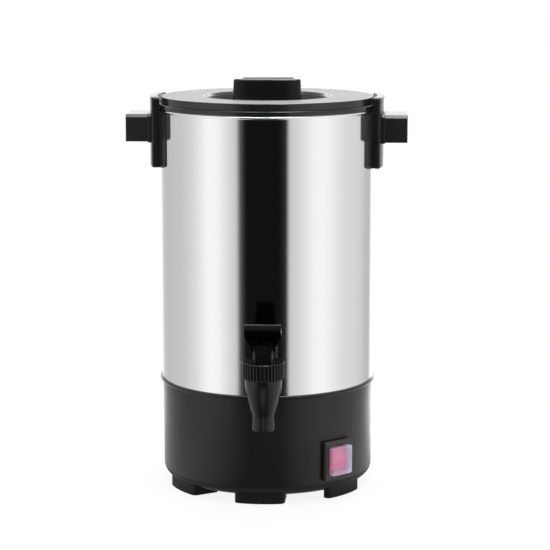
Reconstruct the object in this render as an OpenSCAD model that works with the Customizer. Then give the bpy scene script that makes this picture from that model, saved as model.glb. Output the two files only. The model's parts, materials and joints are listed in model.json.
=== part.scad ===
// Percolating coffee urn: a steel tank on a black base, with a lid, two handles, a lever tap and a
// lit switch.
// Origin on the urn's axis at worktop height, +Z up, the tap at the front towards -Y.
// Angles called turns run about the axis from the front towards +X.

/* [Tank] */
// Outer diameter of the steel wall
tank_d = 189; // [188:0.2:190]
// Height of the steel wall that shows above the base
tank_h = 239.2; // [220:0.1:260]
// Thickness of the steel sheet
sheet_t = 0.8; // [0.6:0.1:1]
// Height of the bead rolled into the top of the wall
bead_h = 2; // [1.6:0.1:2.4]
// How far the bead stands out of the wall
bead_out = 0.6; // [0.5:0.1:0.8]
// Height of the neck inside the base
neck_h = 8; // [6:0.5:10]
// Outer radius of the heating well in the tank floor
well_r = 30; // [27:0.5:33]
// Depth of the heating well
well_depth = 5; // [3:0.5:7]

/* [Base] */
// Height of the base shell
base_h = 88.8; // [80:0.1:95]
// Wall of the base shell
base_wall = 2.4; // [2:0.1:3]
// How far the base wall leans in from top to bottom
base_draft = 0.6; // [0:0.1:2]
// Radius of the rounding at the foot of the base wall
base_round = 9.5; // [7:0.5:11]
// How far the lip under the tank stands out of the steel wall
lip_out = 1.5; // [1:0.1:3]
// Height of that lip
lip_h = 1.9; // [1.5:0.1:3]
// Thickness of the base floor
base_floor = 4; // [3.5:0.1:5]
// Height of the feet
foot_h = 8; // [6:0.5:10]
// Angle between neighbouring feet of the three at the front, and of the three at the back
foot_pitch = 55; // [48:0.5:60]
// How far the ring of feet lies inside the wall
foot_in = 5.5; // [4.5:0.1:8.5]
// Depth of a foot from front to back
foot_depth = 5.5; // [5:0.5:9]
// Width of a foot in degrees
foot_span = 28; // [20:0.2:28]
// Turn of the middle foot at the front, away from the tap
foot_turn = -3; // [-5:0.1:5]
// Gap between the bottom cover and the rib that stiffens one end of a foot
rib_gap = 3; // [2:0.5:12]
// Radius of the bottom cover
cover_r = 62; // [56:0.5:64]
// Thickness of the bottom cover
cover_t = 2; // [1.5:0.1:2.5]

/* [Rim and lid] */
// How far the rim collar stands out of the steel wall
collar_out = 0.9; // [0.8:0.1:2]
// Height of the rim collar
collar_h = 4; // [3.6:0.1:5]
// Depth of the collar inside the tank
collar_leg = 8; // [6:0.5:10]
// How far the lid's edge lies inside the wall
lid_in = 1.2; // [0.5:0.1:2.4]
// Height of the lid above the collar
lid_h = 6.4; // [5.5:0.1:8]
// Wall of the lid
lid_wall = 2.2; // [1.8:0.1:2.6]
// Radius of the recess in the lid
recess_r = 52; // [48:0.5:56]
// Depth of the recess
recess_depth = 9; // [7:0.5:10]
// Depth of the ring that centres the lid in the collar
spigot_h = 9; // [6:0.5:11]
// Width of the knob at its foot
knob_w = 60.4; // [56:0.2:64]
// Depth of the knob from front to back
knob_d = 39; // [34:0.5:42]
// Height of the knob above the recess floor
knob_h = 24.5; // [20:0.1:28]
// How much narrower the knob is at its top
knob_taper = 3; // [0:0.1:4]
// Depth of the sunken panel on the knob
panel_depth = 1.2; // [0.8:0.1:1.6]

/* [Handles] */
// Turn of the pair of handles away from square with the tap
handle_turn = -1.8; // [-3:0.1:3]
// How far the brackets stand out of the wall
bracket_out = 8.2; // [6.5:0.1:10.5]
// Height of a bracket
bracket_h = 61; // [55:0.5:66]
// How far the bracket rises above the lid's top
bracket_over = 0.6; // [0.2:0.1:2]
// Half the angle a bracket covers
bracket_half = 16.6; // [14:0.1:19]
// Half the angle of the pad behind it
pad_half = 24.4; // [21:0.1:26]
// Thickness of that pad
pad_t = 2.4; // [1.5:0.1:3]
// How far the grip stands out of its bracket
grip_out = 20.6; // [15:0.1:26]
// Height of the grip
grip_h = 24; // [18:0.1:26]
// Depth of the grip from front to back
grip_d = 43; // [38:0.5:48]
// Height of the grip's underside above the bracket's
grip_lift = 21.2; // [18:0.1:26]
// Radius of the grip's softened edges
grip_round = 2; // [1:0.1:3]

/* [Tap] */
// Distance of the tap's upright axis from the steel wall
tap_reach = 33; // [30:0.5:38]
// Height of the tap's shank above the seam of the base
tap_rise = 14.4; // [13:0.1:22]
// Radius of the threaded shank
shank_r = 6; // [5.5:0.1:6.5]
// Radius of the spout's tip
spout_r = 9.7; // [9:0.1:10.5]
// Radius of the spout's outlet bore
outlet_r = 5.5; // [4.5:0.1:6]
// Drop of the spout's tip below the shank
spout_drop = 36; // [30:0.5:40]
// Radius of the tap's barrel
barrel_r = 15.6; // [15:0.1:16.5]
// Radius over the bonnet's ribs
bonnet_r = 17.6; // [17:0.1:18.5]
// Height of the ribbed bonnet
bonnet_h = 14.2; // [12:0.1:16]
// Number of ribs on the bonnet
rib_count = 40; // [30:1:48]
// Width of the neck on the bonnet
neck_w = 15.4; // [13:0.1:15.6]
// Width of the lever's paddle
paddle_w = 31; // [27:0.1:34]
// Width of the lever where it holds the pin
fork_w = 20.4; // [20:0.1:22]

/* [Switch] */
// Turn of the switch about the urn's axis
switch_turn = 41.3; // [35:0.1:50]
// Height of the switch's centre
switch_z = 35.9; // [35:0.1:50]
// Width of the bezel
bezel_w = 31; // [30:0.1:33]
// Height of the bezel
bezel_h = 34.8; // [33:0.1:36]
// How far the bezel stands out of the base
bezel_out = 4; // [3:0.1:5]
// Width of the splash cover
window_w = 23.2; // [21.6:0.1:23.8]
// Height of the splash cover
window_h = 25.4; // [23.6:0.1:26]
// How far the splash cover stands out of the bezel
window_out = 4.8; // [3.2:0.1:5.5]
// Wall of the splash cover
window_t = 0.9; // [0.8:0.1:1.1]
// Tilt of the rocker in either position
rocker_tilt = 8; // [5:0.5:9]

/* [Percolator] */
// Outer radius of the pump tube
tube_r = 5; // [4:0.1:6]
// Gap between the coffee basket and the outside of the wall
basket_in = 22.5; // [18.5:0.5:30]
// Height of the coffee basket
basket_h = 62; // [50:0.5:70]
// Gap under the lid that leaves the percolator set loose
play_gap = 6; // [5.5:0.1:9]

/* [Heating] */
// Radius of the main element's ring
element_ring = 20; // [18:0.5:22]
// Radius of the main element's tube
element_tube = 3.5; // [3:0.1:4]
// How far the keep-warm element's ring lies inside the wall
warm_in = 32.5; // [30.5:0.5:36.5]
// Radius of the keep-warm element's tube
warm_tube = 2.5; // [2:0.1:3]
// How far the circle of pillars under the tank lies inside the wall
pillar_in = 18.5; // [16.5:0.5:21.5]
// Radius of a pillar
pillar_r = 5; // [4.5:0.1:5.5]
// Drop of the heat shield below the tank floor
shield_drop = 28; // [26:0.5:32]
// Radius of a wire over its insulation
wire_r = 1.3; // [1:0.1:1.6]

/* [Hidden] */
$fn = 48;

// Clearance of a part that drops into another
slip = 0.2;
// Clearance of a screw, pin or stem in its hole
fit = 0.05;
// Overlap that makes a cut break through a surface
through = 1;
// Softening of small plastic edges
soft = 1;

// Heights and radii of the shell
tank_r = tank_d / 2;
tank_in = tank_r - sheet_t;
seam_z = foot_h + base_h;
rim_z = seam_z + tank_h;
floor_z = seam_z - neck_h;
well_z = floor_z - well_depth;
upstand_h = collar_h - 1;
collar_r = tank_r + collar_out;
collar_t = 2;
leg_r = tank_in - slip;
leg_in = leg_r - collar_t;
lid_z = rim_z + collar_h;
lid_r = tank_r - lid_in;
bracket_r = tank_r + bracket_out;
grip_reach = bracket_r + grip_out;
foot_r = tank_r - foot_in;
foot_rib = foot_r - cover_r - rib_gap;
warm_ring = tank_r - warm_in;
pillar_ring = tank_r - pillar_in;
basket_r = tank_r - basket_in;
lid_top = lid_z + lid_h;
spigot_r = leg_in - 2 * slip;
recess_z = lid_top - recess_depth;
knob_top = recess_z + knob_h;
base_inset = 0.7;
base_top_r = tank_r - base_inset;
base_foot_r = base_top_r - base_draft;
// The tank's neck drops into the base
neck_r = base_top_r - base_wall - fit;
lip_r = tank_r + lip_out;
lip_slope = 1.4;
base_in_z = foot_h + base_floor;

// Fasteners
screw_r = 2;
head_r = 3.8;
head_t = 2.4;
small_screw_r = 1.5;
small_head_r = 2.8;
small_head_t = 1.8;
slot_w = 0.9;
slot_depth = 0.8;
// Share of a screw's head that its cross slot spans
slot_share = 0.6;
// Steps in a wire's bend, and the share of a straight run that one bend may take
bend_steps = 4;
bend_share = 0.45;
// Direction that no wire runs in, which keeps its sections from turning
sweep_side = unit([5, 3, 2]);

// ---------------------------------------------------------------- plain shapes

// A rectangle about the origin with round corners
module soft_rect(w, d, r) {
    square([w - 2 * r, d], center = true);
    square([w, d - 2 * r], center = true);
    for (x = [-1, 1], y = [-1, 1])
        translate([x * (w / 2 - r), y * (d / 2 - r)]) circle(r);
}

// A box about the origin whose edges are round in all three directions
module soft_block(w, d, h, r) {
    intersection() {
        translate([0, 0, -h / 2]) linear_extrude(h) soft_rect(w, d, r);
        rotate([90, 0, 0]) translate([0, 0, -d / 2]) linear_extrude(d) soft_rect(w, h, r);
        rotate([90, 0, 90]) translate([0, 0, -w / 2]) linear_extrude(w) soft_rect(d, h, r);
    }
}

// Half of a revolved band from r0 to r1 and z0 to z1, with its two top corners round
module top_soft_band(r0, r1, z0, z1, r) {
    translate([r0, z0]) square([r1 - r0, z1 - z0 - r]);
    translate([r0 + r, z0]) square([r1 - r0 - 2 * r, z1 - z0]);
    for (x = [r0 + r, r1 - r]) translate([x, z1 - r]) circle(r);
}

// A band without round corners
module band(r0, r1, z0, z1) {
    translate([r0, z0]) square([r1 - r0, z1 - z0]);
}

// Moves its children to a turn about the urn's axis, with their +X pointing outwards
module at_turn(turn, r = 0, z = 0) {
    rotate([0, 0, turn - 90]) translate([r, 0, z]) children();
}

// A cylinder along +X
module bar_x(h, r) { rotate([0, 90, 0]) cylinder(h = h, r = r); }

// A screw along +Z whose head stands on the origin and whose shank points down
module screw(shank_r, length, cap_r, cap_t) {
    difference() {
        union() {
            cylinder(h = cap_t, r = cap_r);
            translate([0, 0, -length]) cylinder(h = length, r = shank_r);
        }
        for (a = [0, 90]) rotate([0, 0, a])
            translate([-cap_r * slot_share, -slot_w / 2, cap_t - slot_depth])
                cube([2 * cap_r * slot_share, slot_w, through]);
    }
}

function unit(v) = v / norm(v);

// A route with every inner point replaced by a smooth bend
function bent(p, reach) = [
    for (i = [0 : len(p) - 1])
        if (i == 0 || i == len(p) - 1) p[i]
        else let (
            a = p[i] - unit(p[i] - p[i - 1]) * min(reach, norm(p[i] - p[i - 1]) * bend_share),
            b = p[i] + unit(p[i + 1] - p[i]) * min(reach, norm(p[i + 1] - p[i]) * bend_share)
        ) each [for (t = [0 : 1 / bend_steps : 1])
            a * (1 - t) * (1 - t) + 2 * p[i] * t * (1 - t) + b * t * t]
];

// Direction of a route at one of its points
function along(p, i) = unit(
    (i == 0 ? [0, 0, 0] : unit(p[i] - p[i - 1]))
    + (i == len(p) - 1 ? [0, 0, 0] : unit(p[i + 1] - p[i]))
);

// A round bar swept along a route
module swept(p, r, sides) {
    rings = len(p) - 1;
    points = [for (i = [0 : rings], s = [0 : sides - 1])
        let (t = along(p, i), u = unit(cross(t, sweep_side)), v = cross(t, u), b = s * 360 / sides)
            p[i] + r * (cos(b) * u + sin(b) * v)];
    walls = [for (i = [0 : rings - 1], s = [0 : sides - 1])
        let (n = (s + 1) % sides, lo = i * sides, hi = lo + sides)
            each [[lo + s, hi + s, hi + n], [lo + s, hi + n, lo + n]]];
    polyhedron(points, concat(walls,
        [[for (s = [0 : sides - 1]) s], [for (s = [sides - 1 : -1 : 0]) rings * sides + s]]), convexity = 8);
}

// An insulated wire through a list of points
module wire(points) { swept(bent(points, 4 * wire_r), wire_r, 8); }

// ---------------------------------------------------------------- tank and rim

// Screws that hold a handle, by height above its foot
handle_screw_z = [12, 36];
handle_screw_bite = 8.5;
handle_washer_r = 5;
handle_washer_t = 1;
bracket_z = lid_top + bracket_over - bracket_h;

module tank_profile() {
    band(tank_in, tank_r, seam_z, rim_z + upstand_h);
    intersection() {
        translate([tank_r + bead_out - bead_h / 2, rim_z - bead_h / 2]) circle(bead_h / 2);
        band(tank_in, tank_r + bead_h, rim_z - bead_h, rim_z);
    }
    band(neck_r - sheet_t, tank_r, seam_z, seam_z + sheet_t);
    band(neck_r - sheet_t, neck_r, floor_z, seam_z + sheet_t);
    band(well_r - sheet_t, neck_r, floor_z, floor_z + sheet_t);
    band(well_r - sheet_t, well_r, well_z, floor_z + sheet_t);
    band(0, well_r, well_z, well_z + sheet_t);
}

module tank() {
    color("silver") difference() {
        rotate_extrude($fn = 128) tank_profile();
        translate([0, -tank_in + through, tap_z]) rotate([90, 0, 0])
            cylinder(h = 3 * through + sheet_t, r = shank_r + slip);
        for (side = [0, 180], z = handle_screw_z) rotate([0, 0, side + handle_turn])
            translate([tank_in - through, 0, bracket_z + z]) bar_x(3 * through + sheet_t, screw_r + fit);
    }
}

module rim_collar() {
    color([0.09, 0.09, 0.09]) rotate_extrude($fn = 128) difference() {
        union() {
            top_soft_band(leg_in, collar_r, rim_z, lid_z, soft / 2);
            band(leg_in, leg_r, rim_z - collar_leg, rim_z + collar_h / 2);
        }
        band(leg_r, tank_r + slip, rim_z - through, rim_z + upstand_h + slip);
    }
}

// ---------------------------------------------------------------- lid

knob_screw_x = 17;
knob_boss_r = 4.5;
knob_wall = 2.6;
knob_corner = 5;
knob_bow = 4;
panel_w = 44;
panel_d = 22;
vent_w = 2.4;
vent_l = 12;
vent_pitch = 16;
vent_y = 33;
knob_bite = 12;

module lid() {
    color([0.12, 0.12, 0.12]) difference() {
        rotate_extrude($fn = 128) {
            top_soft_band(recess_r, lid_r, lid_top - lid_wall, lid_top, soft);
            band(lid_r - lid_wall, lid_r, lid_z, lid_top - soft);
            band(recess_r, recess_r + lid_wall, recess_z - lid_wall, lid_top - soft);
            band(0, recess_r + lid_wall, recess_z - lid_wall, recess_z);
            band(spigot_r - lid_wall, spigot_r, lid_z - spigot_h, lid_top - soft);
        }
        for (x = [-knob_screw_x, knob_screw_x])
            translate([x, 0, recess_z - lid_wall - through])
                cylinder(h = lid_wall + 2 * through, r = small_screw_r + fit);
        for (i = [-1 : 1])
            translate([i * vent_pitch, vent_y, recess_z - lid_wall - through])
                linear_extrude(lid_wall + 2 * through) soft_rect(vent_l, vent_w, vent_w / 2 - fit);
    }
}

// Outline of the knob with its front and back bowed
module knob_plan(w, d) {
    bow_r = (w * w / 4 + knob_bow * knob_bow) / (2 * knob_bow);
    offset(r = knob_corner, $fn = 32) offset(delta = -knob_corner) intersection() {
        square([w, d], center = true);
        for (side = [-1, 1]) translate([0, side * (bow_r - d / 2)]) circle(bow_r, $fn = 180);
    }
}

module lid_knob() {
    color([0.08, 0.08, 0.08]) {
        difference() {
            hull() {
                translate([0, 0, recess_z]) linear_extrude(soft) knob_plan(knob_w, knob_d);
                translate([0, 0, knob_top - 2 * soft])
                    linear_extrude(soft) knob_plan(knob_w - knob_taper, knob_d - knob_taper);
                translate([0, 0, knob_top - soft]) linear_extrude(soft)
                    knob_plan(knob_w - knob_taper - soft, knob_d - knob_taper - soft);
            }
            translate([0, 0, recess_z - through])
                linear_extrude(knob_h + through - panel_depth - knob_wall) soft_rect(
                    knob_w - knob_taper - 2 * knob_wall, knob_d - 2 * (knob_bow + knob_wall), soft);
            translate([0, 0, knob_top - panel_depth])
                linear_extrude(panel_depth + through) soft_rect(panel_w, panel_d, 2 * soft);
        }
        for (x = [-knob_screw_x, knob_screw_x]) translate([x, 0, recess_z]) difference() {
            cylinder(h = knob_h - panel_depth - knob_wall, r = knob_boss_r);
            translate([0, 0, -through]) cylinder(h = knob_bite + 2 * through, r = small_screw_r + fit);
        }
    }
}

module knob_screws() {
    color("silver") for (x = [-knob_screw_x, knob_screw_x])
        translate([x, 0, recess_z - lid_wall]) mirror([0, 0, 1])
            screw(small_screw_r, knob_bite, small_head_r, small_head_t);
}

// ---------------------------------------------------------------- handles

bracket_round = 3;
bracket_gap = 1.4;
step_z = rim_z - bead_h - slip;
grip_root = 5;
root_margin = 1.6;
root_out = 1.2;
pad_corner = 5;

module bracket_profile() {
    top = bracket_z + bracket_h;
    difference() {
        union() {
            band(tank_r, bracket_r, bracket_z + bracket_round, top - bracket_round);
            band(tank_r, bracket_r - bracket_round, bracket_z, top);
            for (z = [bracket_z + bracket_round, top - bracket_round])
                translate([bracket_r - bracket_round, z]) circle(bracket_round);
        }
        band(0, collar_r + bracket_gap, step_z, top + through);
    }
}

module handle() {
    grip_len = grip_reach - bracket_r + grip_root;
    grip_z = bracket_z + grip_lift + grip_h / 2;
    pad_w = 2 * tank_r * sin(pad_half);
    pad_h = step_z - bracket_z;
    difference() {
        union() {
            rotate_extrude(angle = 2 * bracket_half, start = -bracket_half, $fn = 128) bracket_profile();
            intersection() {
                rotate_extrude(angle = 2 * pad_half, start = -pad_half, $fn = 128)
                    band(tank_r, tank_r + pad_t, bracket_z, step_z);
                translate([0, 0, bracket_z + pad_h / 2]) rotate([90, 0, 90])
                    linear_extrude(bracket_r) soft_rect(pad_w, pad_h, pad_corner);
            }
            translate([grip_reach - grip_len / 2, 0, grip_z])
                soft_block(grip_len, grip_d, grip_h, grip_round);
            translate([bracket_r + root_out - grip_root / 2, 0, grip_z])
                soft_block(grip_root, grip_d + root_margin, grip_h + root_margin, grip_round);
        }
        for (z = handle_screw_z) translate([tank_r - through, 0, bracket_z + z])
            bar_x(handle_screw_bite + 2 * through, screw_r + fit);
    }
}

module handle_right() { color([0.1, 0.1, 0.1]) rotate([0, 0, handle_turn]) handle(); }
module handle_left() { color([0.1, 0.1, 0.1]) rotate([0, 0, handle_turn + 180]) handle(); }

// Repeats its children at the four screws of the handles, with +X pointing outwards
module at_handle_screws() {
    for (side = [0, 180], z = handle_screw_z)
        rotate([0, 0, side + handle_turn]) translate([0, 0, bracket_z + z]) children();
}

washer_face = tank_in - handle_washer_r * handle_washer_r / (2 * tank_in) - handle_washer_t;

module handle_screws() {
    color("silver") at_handle_screws() translate([washer_face, 0, 0]) rotate([0, -90, 0])
        screw(screw_r, tank_r + handle_screw_bite - washer_face, head_r, head_t);
}

module handle_washers() {
    color([0.85, 0.85, 0.8]) intersection() {
        at_handle_screws() difference() {
            translate([washer_face, 0, 0]) bar_x(tank_in - washer_face, handle_washer_r);
            translate([washer_face - through, 0, 0]) bar_x(tank_in, screw_r + fit);
        }
        cylinder(h = rim_z, r = tank_in, $fn = 360);
    }
}

// ---------------------------------------------------------------- percolator set

// Underside of the lid's recess, less the heads of the knob screws
lid_under = recess_z - lid_wall - small_head_t;
tube_t = 1;
tube_top = lid_under - play_gap;
bell_gap = 1.5;
bell_r = well_r - sheet_t - bell_gap;
bell_h = 14;
bell_foot = 2;
well_in_z = well_z + sheet_t;
notch_w = 6;
notch_h = 3;
notch_count = 4;
stop_out = 3;
stop_r = tube_r + stop_out;
stop_t = 2;
spreader_drop = 12;
basket_top = tube_top - spreader_drop;
basket_z = basket_top - basket_h;
sleeve_t = 0.8;
sleeve_r = tube_r + slip + sleeve_t;
sleeve_h = 45;
hole_r = 1.6;
hole_pitch = 12;
hole_first = 18;
hole_rings = 4;
spreader_lip = 4;
valve_r = 12;
valve_t = 1;

module pump_tube() {
    color("gainsboro") difference() {
        rotate_extrude($fn = 64) {
            polygon([
                [bell_r, well_in_z], [bell_r, well_in_z + bell_foot], [tube_r, well_in_z + bell_h],
                [tube_r - tube_t, well_in_z + bell_h], [tube_r - tube_t, well_in_z + bell_h - 2 * tube_t],
                [bell_r - tube_t, well_in_z + bell_foot - tube_t / 2], [bell_r - tube_t, well_in_z]
            ]);
            band(tube_r - tube_t, tube_r, well_in_z + bell_h - tube_t, tube_top);
            band(tube_r - tube_t / 2, stop_r, basket_z - stop_t, basket_z);
        }
        for (i = [0 : notch_count - 1]) rotate([0, 0, 45 + i * 360 / notch_count])
            translate([bell_r - 3 * notch_h, -notch_w / 2, well_in_z - through])
                cube([4 * notch_h, notch_w, through + bell_foot / 2]);
    }
}

// Loose disc that lets water into the bell and holds it there as it boils
module pump_valve() {
    color("silver") translate([0, 0, well_in_z]) difference() {
        cylinder(h = valve_t, r = valve_r);
        translate([0, 0, -through]) cylinder(h = valve_t + 2 * through, r = tube_t);
    }
}

// Rings of holes about the axis, each ring with a hole for every pitch
module perforations(z, t, outer) {
    step = (outer - hole_pitch / 2 - hole_first) / (hole_rings - 1);
    for (ring = [0 : hole_rings - 1]) {
        r = hole_first + ring * step;
        count = floor(2 * PI * r / hole_pitch);
        for (i = [0 : count - 1]) rotate([0, 0, i * 360 / count])
            translate([r, 0, z - through]) cylinder(h = t + 2 * through, r = hole_r, $fn = 16);
    }
}

module coffee_basket() {
    color("lightgray") difference() {
        rotate_extrude($fn = 96) {
            band(basket_r - sheet_t, basket_r, basket_z, basket_top);
            band(sleeve_r - sleeve_t, basket_r, basket_z, basket_z + sheet_t);
            band(sleeve_r - sleeve_t, sleeve_r, basket_z, basket_z + sleeve_h);
        }
        perforations(basket_z, sheet_t, basket_r);
    }
}

module basket_spreader() {
    color("gray") difference() {
        rotate_extrude($fn = 96) {
            band(tube_r + slip, basket_r + 2 * sheet_t, basket_top, basket_top + sheet_t);
            band(basket_r - 2 * sheet_t - slip, basket_r - sheet_t - slip, basket_top - spreader_lip,
                basket_top + sheet_t);
        }
        perforations(basket_top, sheet_t, basket_r - spreader_lip);
    }
}

// ---------------------------------------------------------------- tap

tap_y = -(tank_r + tap_reach);
tap_z = seam_z + tap_rise;
tip_z = tap_z - spout_drop;
waist_in = 0.4;
waist_r = spout_r - waist_in;
waist_h = 12.5;
waist_z = tip_z + waist_h;
tip_round = 1.6;
shoulder_h = 9;
shoulder_z = tap_z + shoulder_h;
thread_r = 14;
thread_h = 7;
chamber_r = 11.5;
chamber_drop = 8;
chamber_z = tap_z - chamber_drop;
seat_drop = 13.5;
seat_z = tap_z - seat_drop;
seat_bore_r = 8.8;
shank_bore_r = 4;
flange_r = 11;
flange_t = 2.5;
rubber_t = 1.6;
rubber_sag = flange_r * flange_r / (2 * tank_in);
nut_h = 6;
nut_r = 10.4;
shank_tail = 3;
nut_face = tank_in - rubber_t - rubber_sag;
spout_steps = 14;

// Radius of the spout at a height, along the quarter wave from waist to barrel
function spout_at(t) = waist_r + (barrel_r - waist_r) * sin(90 * t);

module tap_outer_profile() {
    polygon(concat(
        [[0, tip_z], [spout_r - tip_round, tip_z], [spout_r - tip_round / 4, tip_z + tip_round / 3],
            [spout_r, tip_z + tip_round], [spout_r, tip_z + 3 * tip_round]],
        [for (i = [0 : spout_steps]) let (t = i / spout_steps)
            [spout_at(t), waist_z + (shoulder_z - waist_z) * t]],
        [[thread_r, shoulder_z], [thread_r, shoulder_z + thread_h], [0, shoulder_z + thread_h]]
    ));
}

module tap_body() {
    color([0.13, 0.13, 0.13]) translate([0, tap_y, 0]) difference() {
        union() {
            rotate_extrude($fn = 96) tap_outer_profile();
            translate([0, 0, tap_z]) rotate([-90, 0, 0]) {
                cylinder(h = -tap_y - nut_face + nut_h + shank_tail, r = shank_r);
                translate([0, 0, tap_reach - rubber_t - flange_t]) cylinder(h = flange_t, r = flange_r);
            }
        }
        translate([0, 0, tip_z - through]) cylinder(h = seat_z - tip_z + 2 * through, r = outlet_r);
        translate([0, 0, seat_z]) cylinder(h = chamber_z - seat_z + through, r = seat_bore_r);
        translate([0, 0, chamber_z]) cylinder(h = shoulder_z + thread_h, r = chamber_r);
        translate([0, 0, tap_z]) rotate([-90, 0, 0]) cylinder(h = -tap_y, r = shank_bore_r);
    }
}

// A ring about the shank, between two distances from the urn's axis
module shank_ring(near, far, r, bore) {
    translate([0, -near, tap_z]) rotate([90, 0, 0]) difference() {
        cylinder(h = far - near, r = r);
        translate([0, 0, -through]) cylinder(h = far - near + 2 * through, r = bore);
    }
}

module tap_outer_washer() {
    color([0.85, 0.85, 0.8]) difference() {
        shank_ring(tank_r - 2 * rubber_t, tank_r + rubber_t, flange_r + slip, shank_r + fit);
        cylinder(h = rim_z, r = tank_r, $fn = 360);
    }
}

module tap_inner_washer() {
    color([0.85, 0.85, 0.8]) intersection() {
        shank_ring(nut_face, tank_in + through, flange_r, shank_r + fit);
        cylinder(h = rim_z, r = tank_in, $fn = 360);
    }
}

module tap_nut() {
    color("silver") translate([0, -nut_face, tap_z]) rotate([-90, 0, 0]) difference() {
        cylinder(h = nut_h, r = nut_r, $fn = 6);
        translate([0, 0, -through]) cylinder(h = nut_h + 2 * through, r = shank_r + fit);
    }
}

// Heights of the bonnet, the neck on it and the lever's pin
bonnet_z = shoulder_z;
bonnet_top = bonnet_z + bonnet_h;
cap_z = bonnet_z + thread_h + slip;
rib_depth = 0.8;
cap_edge = 0.8;
cap_lip = 0.15;
cone_r = 10.4;
cone_h = 2;
stalk_h = 9.6;
neck_top = bonnet_top + stalk_h;
neck_d = 15;
neck_y = -1.6;
neck_corner = 1.5;
stem_r = 2.5;
pin_r = 1.5;
pin_y = -6;
pin_rise = 3.5;
pin_z = neck_top + pin_rise;
lug_r = 2.7;

module tap_bonnet() {
    color([0.1, 0.1, 0.1]) translate([0, tap_y, 0]) difference() {
        union() {
            translate([0, 0, bonnet_z]) linear_extrude(bonnet_h - cap_edge) ribbed_disc();
            translate([0, 0, bonnet_top - cap_edge]) cylinder(h = cap_edge, r = bonnet_r + cap_lip, $fn = 96);
            translate([0, 0, bonnet_top]) cylinder(h = cone_h, r1 = cone_r, r2 = neck_w / 2 - slip);
            translate([0, neck_y, bonnet_top]) linear_extrude(stalk_h) soft_rect(neck_w, neck_d, neck_corner);
            translate([-neck_w / 2, pin_y - lug_r, neck_top - through])
                cube([neck_w, 2 * lug_r, pin_z - neck_top + through]);
            translate([-neck_w / 2, pin_y, pin_z]) bar_x(neck_w, lug_r);
        }
        translate([0, 0, bonnet_z - through]) cylinder(h = cap_z - bonnet_z + through, r = thread_r + fit);
        translate([0, 0, bonnet_z]) cylinder(h = neck_top - bonnet_z + through, r = stem_r + fit);
        translate([-neck_w, pin_y, pin_z]) bar_x(2 * neck_w, pin_r + fit / 2);
    }
}

// A disc with ribs around its rim
module ribbed_disc() {
    pitch = 360 / rib_count;
    polygon([for (i = [0 : rib_count - 1], p = [[0, 0], [0.2, 1], [0.55, 1], [0.75, 0]])
        let (a = (i + p[0]) * pitch, r = bonnet_r - rib_depth * (1 - p[1])) [r * cos(a), r * sin(a)]]);
}

module lever_pin() {
    color("silver") translate([-fork_w / 2, tap_y + pin_y, pin_z]) bar_x(fork_w, pin_r);
}

// The stem ends in a cross bar, which two pegs inside the lever lift
bar_t = 1.8;
bar_d = 4.8;
bar_w = 12.6;
bar_rise = 1.8;
bar_z = pin_z + bar_rise;
peg_r = 1.3;
peg_gap = 0.2;
peg_in = stem_r + 0.6;
cheek_in = neck_w / 2 + slip;
cup_r = 7.6;
cup_floor = 1.5;
cup_h = 9;
spring_r = 5.6;
spring_wire = 0.5;
spring_turns = 6;

// Side outline of the lever, forward to the left, about the neck's axis and the pin's height
lever_side = [
    [-9.5, -2.5], [4.4, -2.5], [5.6, -1.3], [5.6, 5.2], [4.6, 6.4], [-18.2, 20.9], [-19.8, 21.8],
    [-21, 21.7], [-21.8, 20.7], [-21.8, 15.7], [-21.3, 15.1], [-17, 13.9], [-13.4, 11.2], [-10.8, 7.4],
    [-10.5, -1.5]
];
// Half of the lever's front outline: half width and height above the pin
flare_z = [-3, 1.4, 4.2, 7.4, 10.2];
flare_share = [0, 0, 0.3, 0.75, 1];

module lever_front() {
    half = [for (i = [0 : len(flare_z) - 1])
        [fork_w / 2 + (paddle_w - fork_w) / 2 * flare_share[i], flare_z[i]]];
    top = lever_side[6][1] + through;
    polygon(concat(half, [[paddle_w / 2, top], [-paddle_w / 2, top]],
        [for (i = [len(half) - 1 : -1 : 0]) [-half[i][0], half[i][1]]]));
}

module tap_lever() {
    slot_top = 4.7;
    color([0.09, 0.09, 0.09]) translate([0, tap_y, pin_z]) {
        difference() {
            intersection() {
                rotate([90, 0, 90]) translate([0, 0, -paddle_w]) linear_extrude(2 * paddle_w)
                    polygon(lever_side);
                rotate([90, 0, 0]) translate([0, 0, -paddle_w]) linear_extrude(3 * paddle_w) lever_front();
            }
            translate([-cheek_in, -paddle_w, -paddle_w])
                cube([2 * cheek_in, 2 * paddle_w, paddle_w + slot_top]);
            translate([-paddle_w, pin_y, 0]) bar_x(2 * paddle_w, pin_r + fit);
        }
        for (side = [0, 180]) rotate([0, 0, side])
            translate([peg_in, 0, bar_z - pin_z - peg_gap - peg_r])
                bar_x(cheek_in - peg_in + through, peg_r);
    }
}

module valve_stem() {
    color("silver") translate([0, tap_y, 0]) {
        translate([0, 0, seat_z + cup_floor]) cylinder(h = bar_z + bar_t - seat_z - cup_floor, r = stem_r);
        translate([-bar_w / 2, -bar_d / 2, bar_z]) cube([bar_w, bar_d, bar_t]);
    }
}

module seat_cup() {
    color([0.8, 0.8, 0.75]) translate([0, tap_y, seat_z]) difference() {
        cylinder(h = cup_h, r = cup_r);
        translate([0, 0, cup_floor]) cylinder(h = cup_h, r = stem_r);
    }
}

// Round wire along a helix
module valve_spring() {
    per_turn = 14;
    rings = spring_turns * per_turn;
    z0 = seat_z + cup_h + 2 * spring_wire;
    rise = cap_z - 2 * spring_wire - z0;
    color("silver") translate([0, tap_y, 0]) swept([for (i = [0 : rings]) let (a = i * 360 / per_turn)
        [spring_r * cos(a), spring_r * sin(a), z0 + rise * i / rings]], spring_wire, 6);
}

// ---------------------------------------------------------------- base

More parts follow.
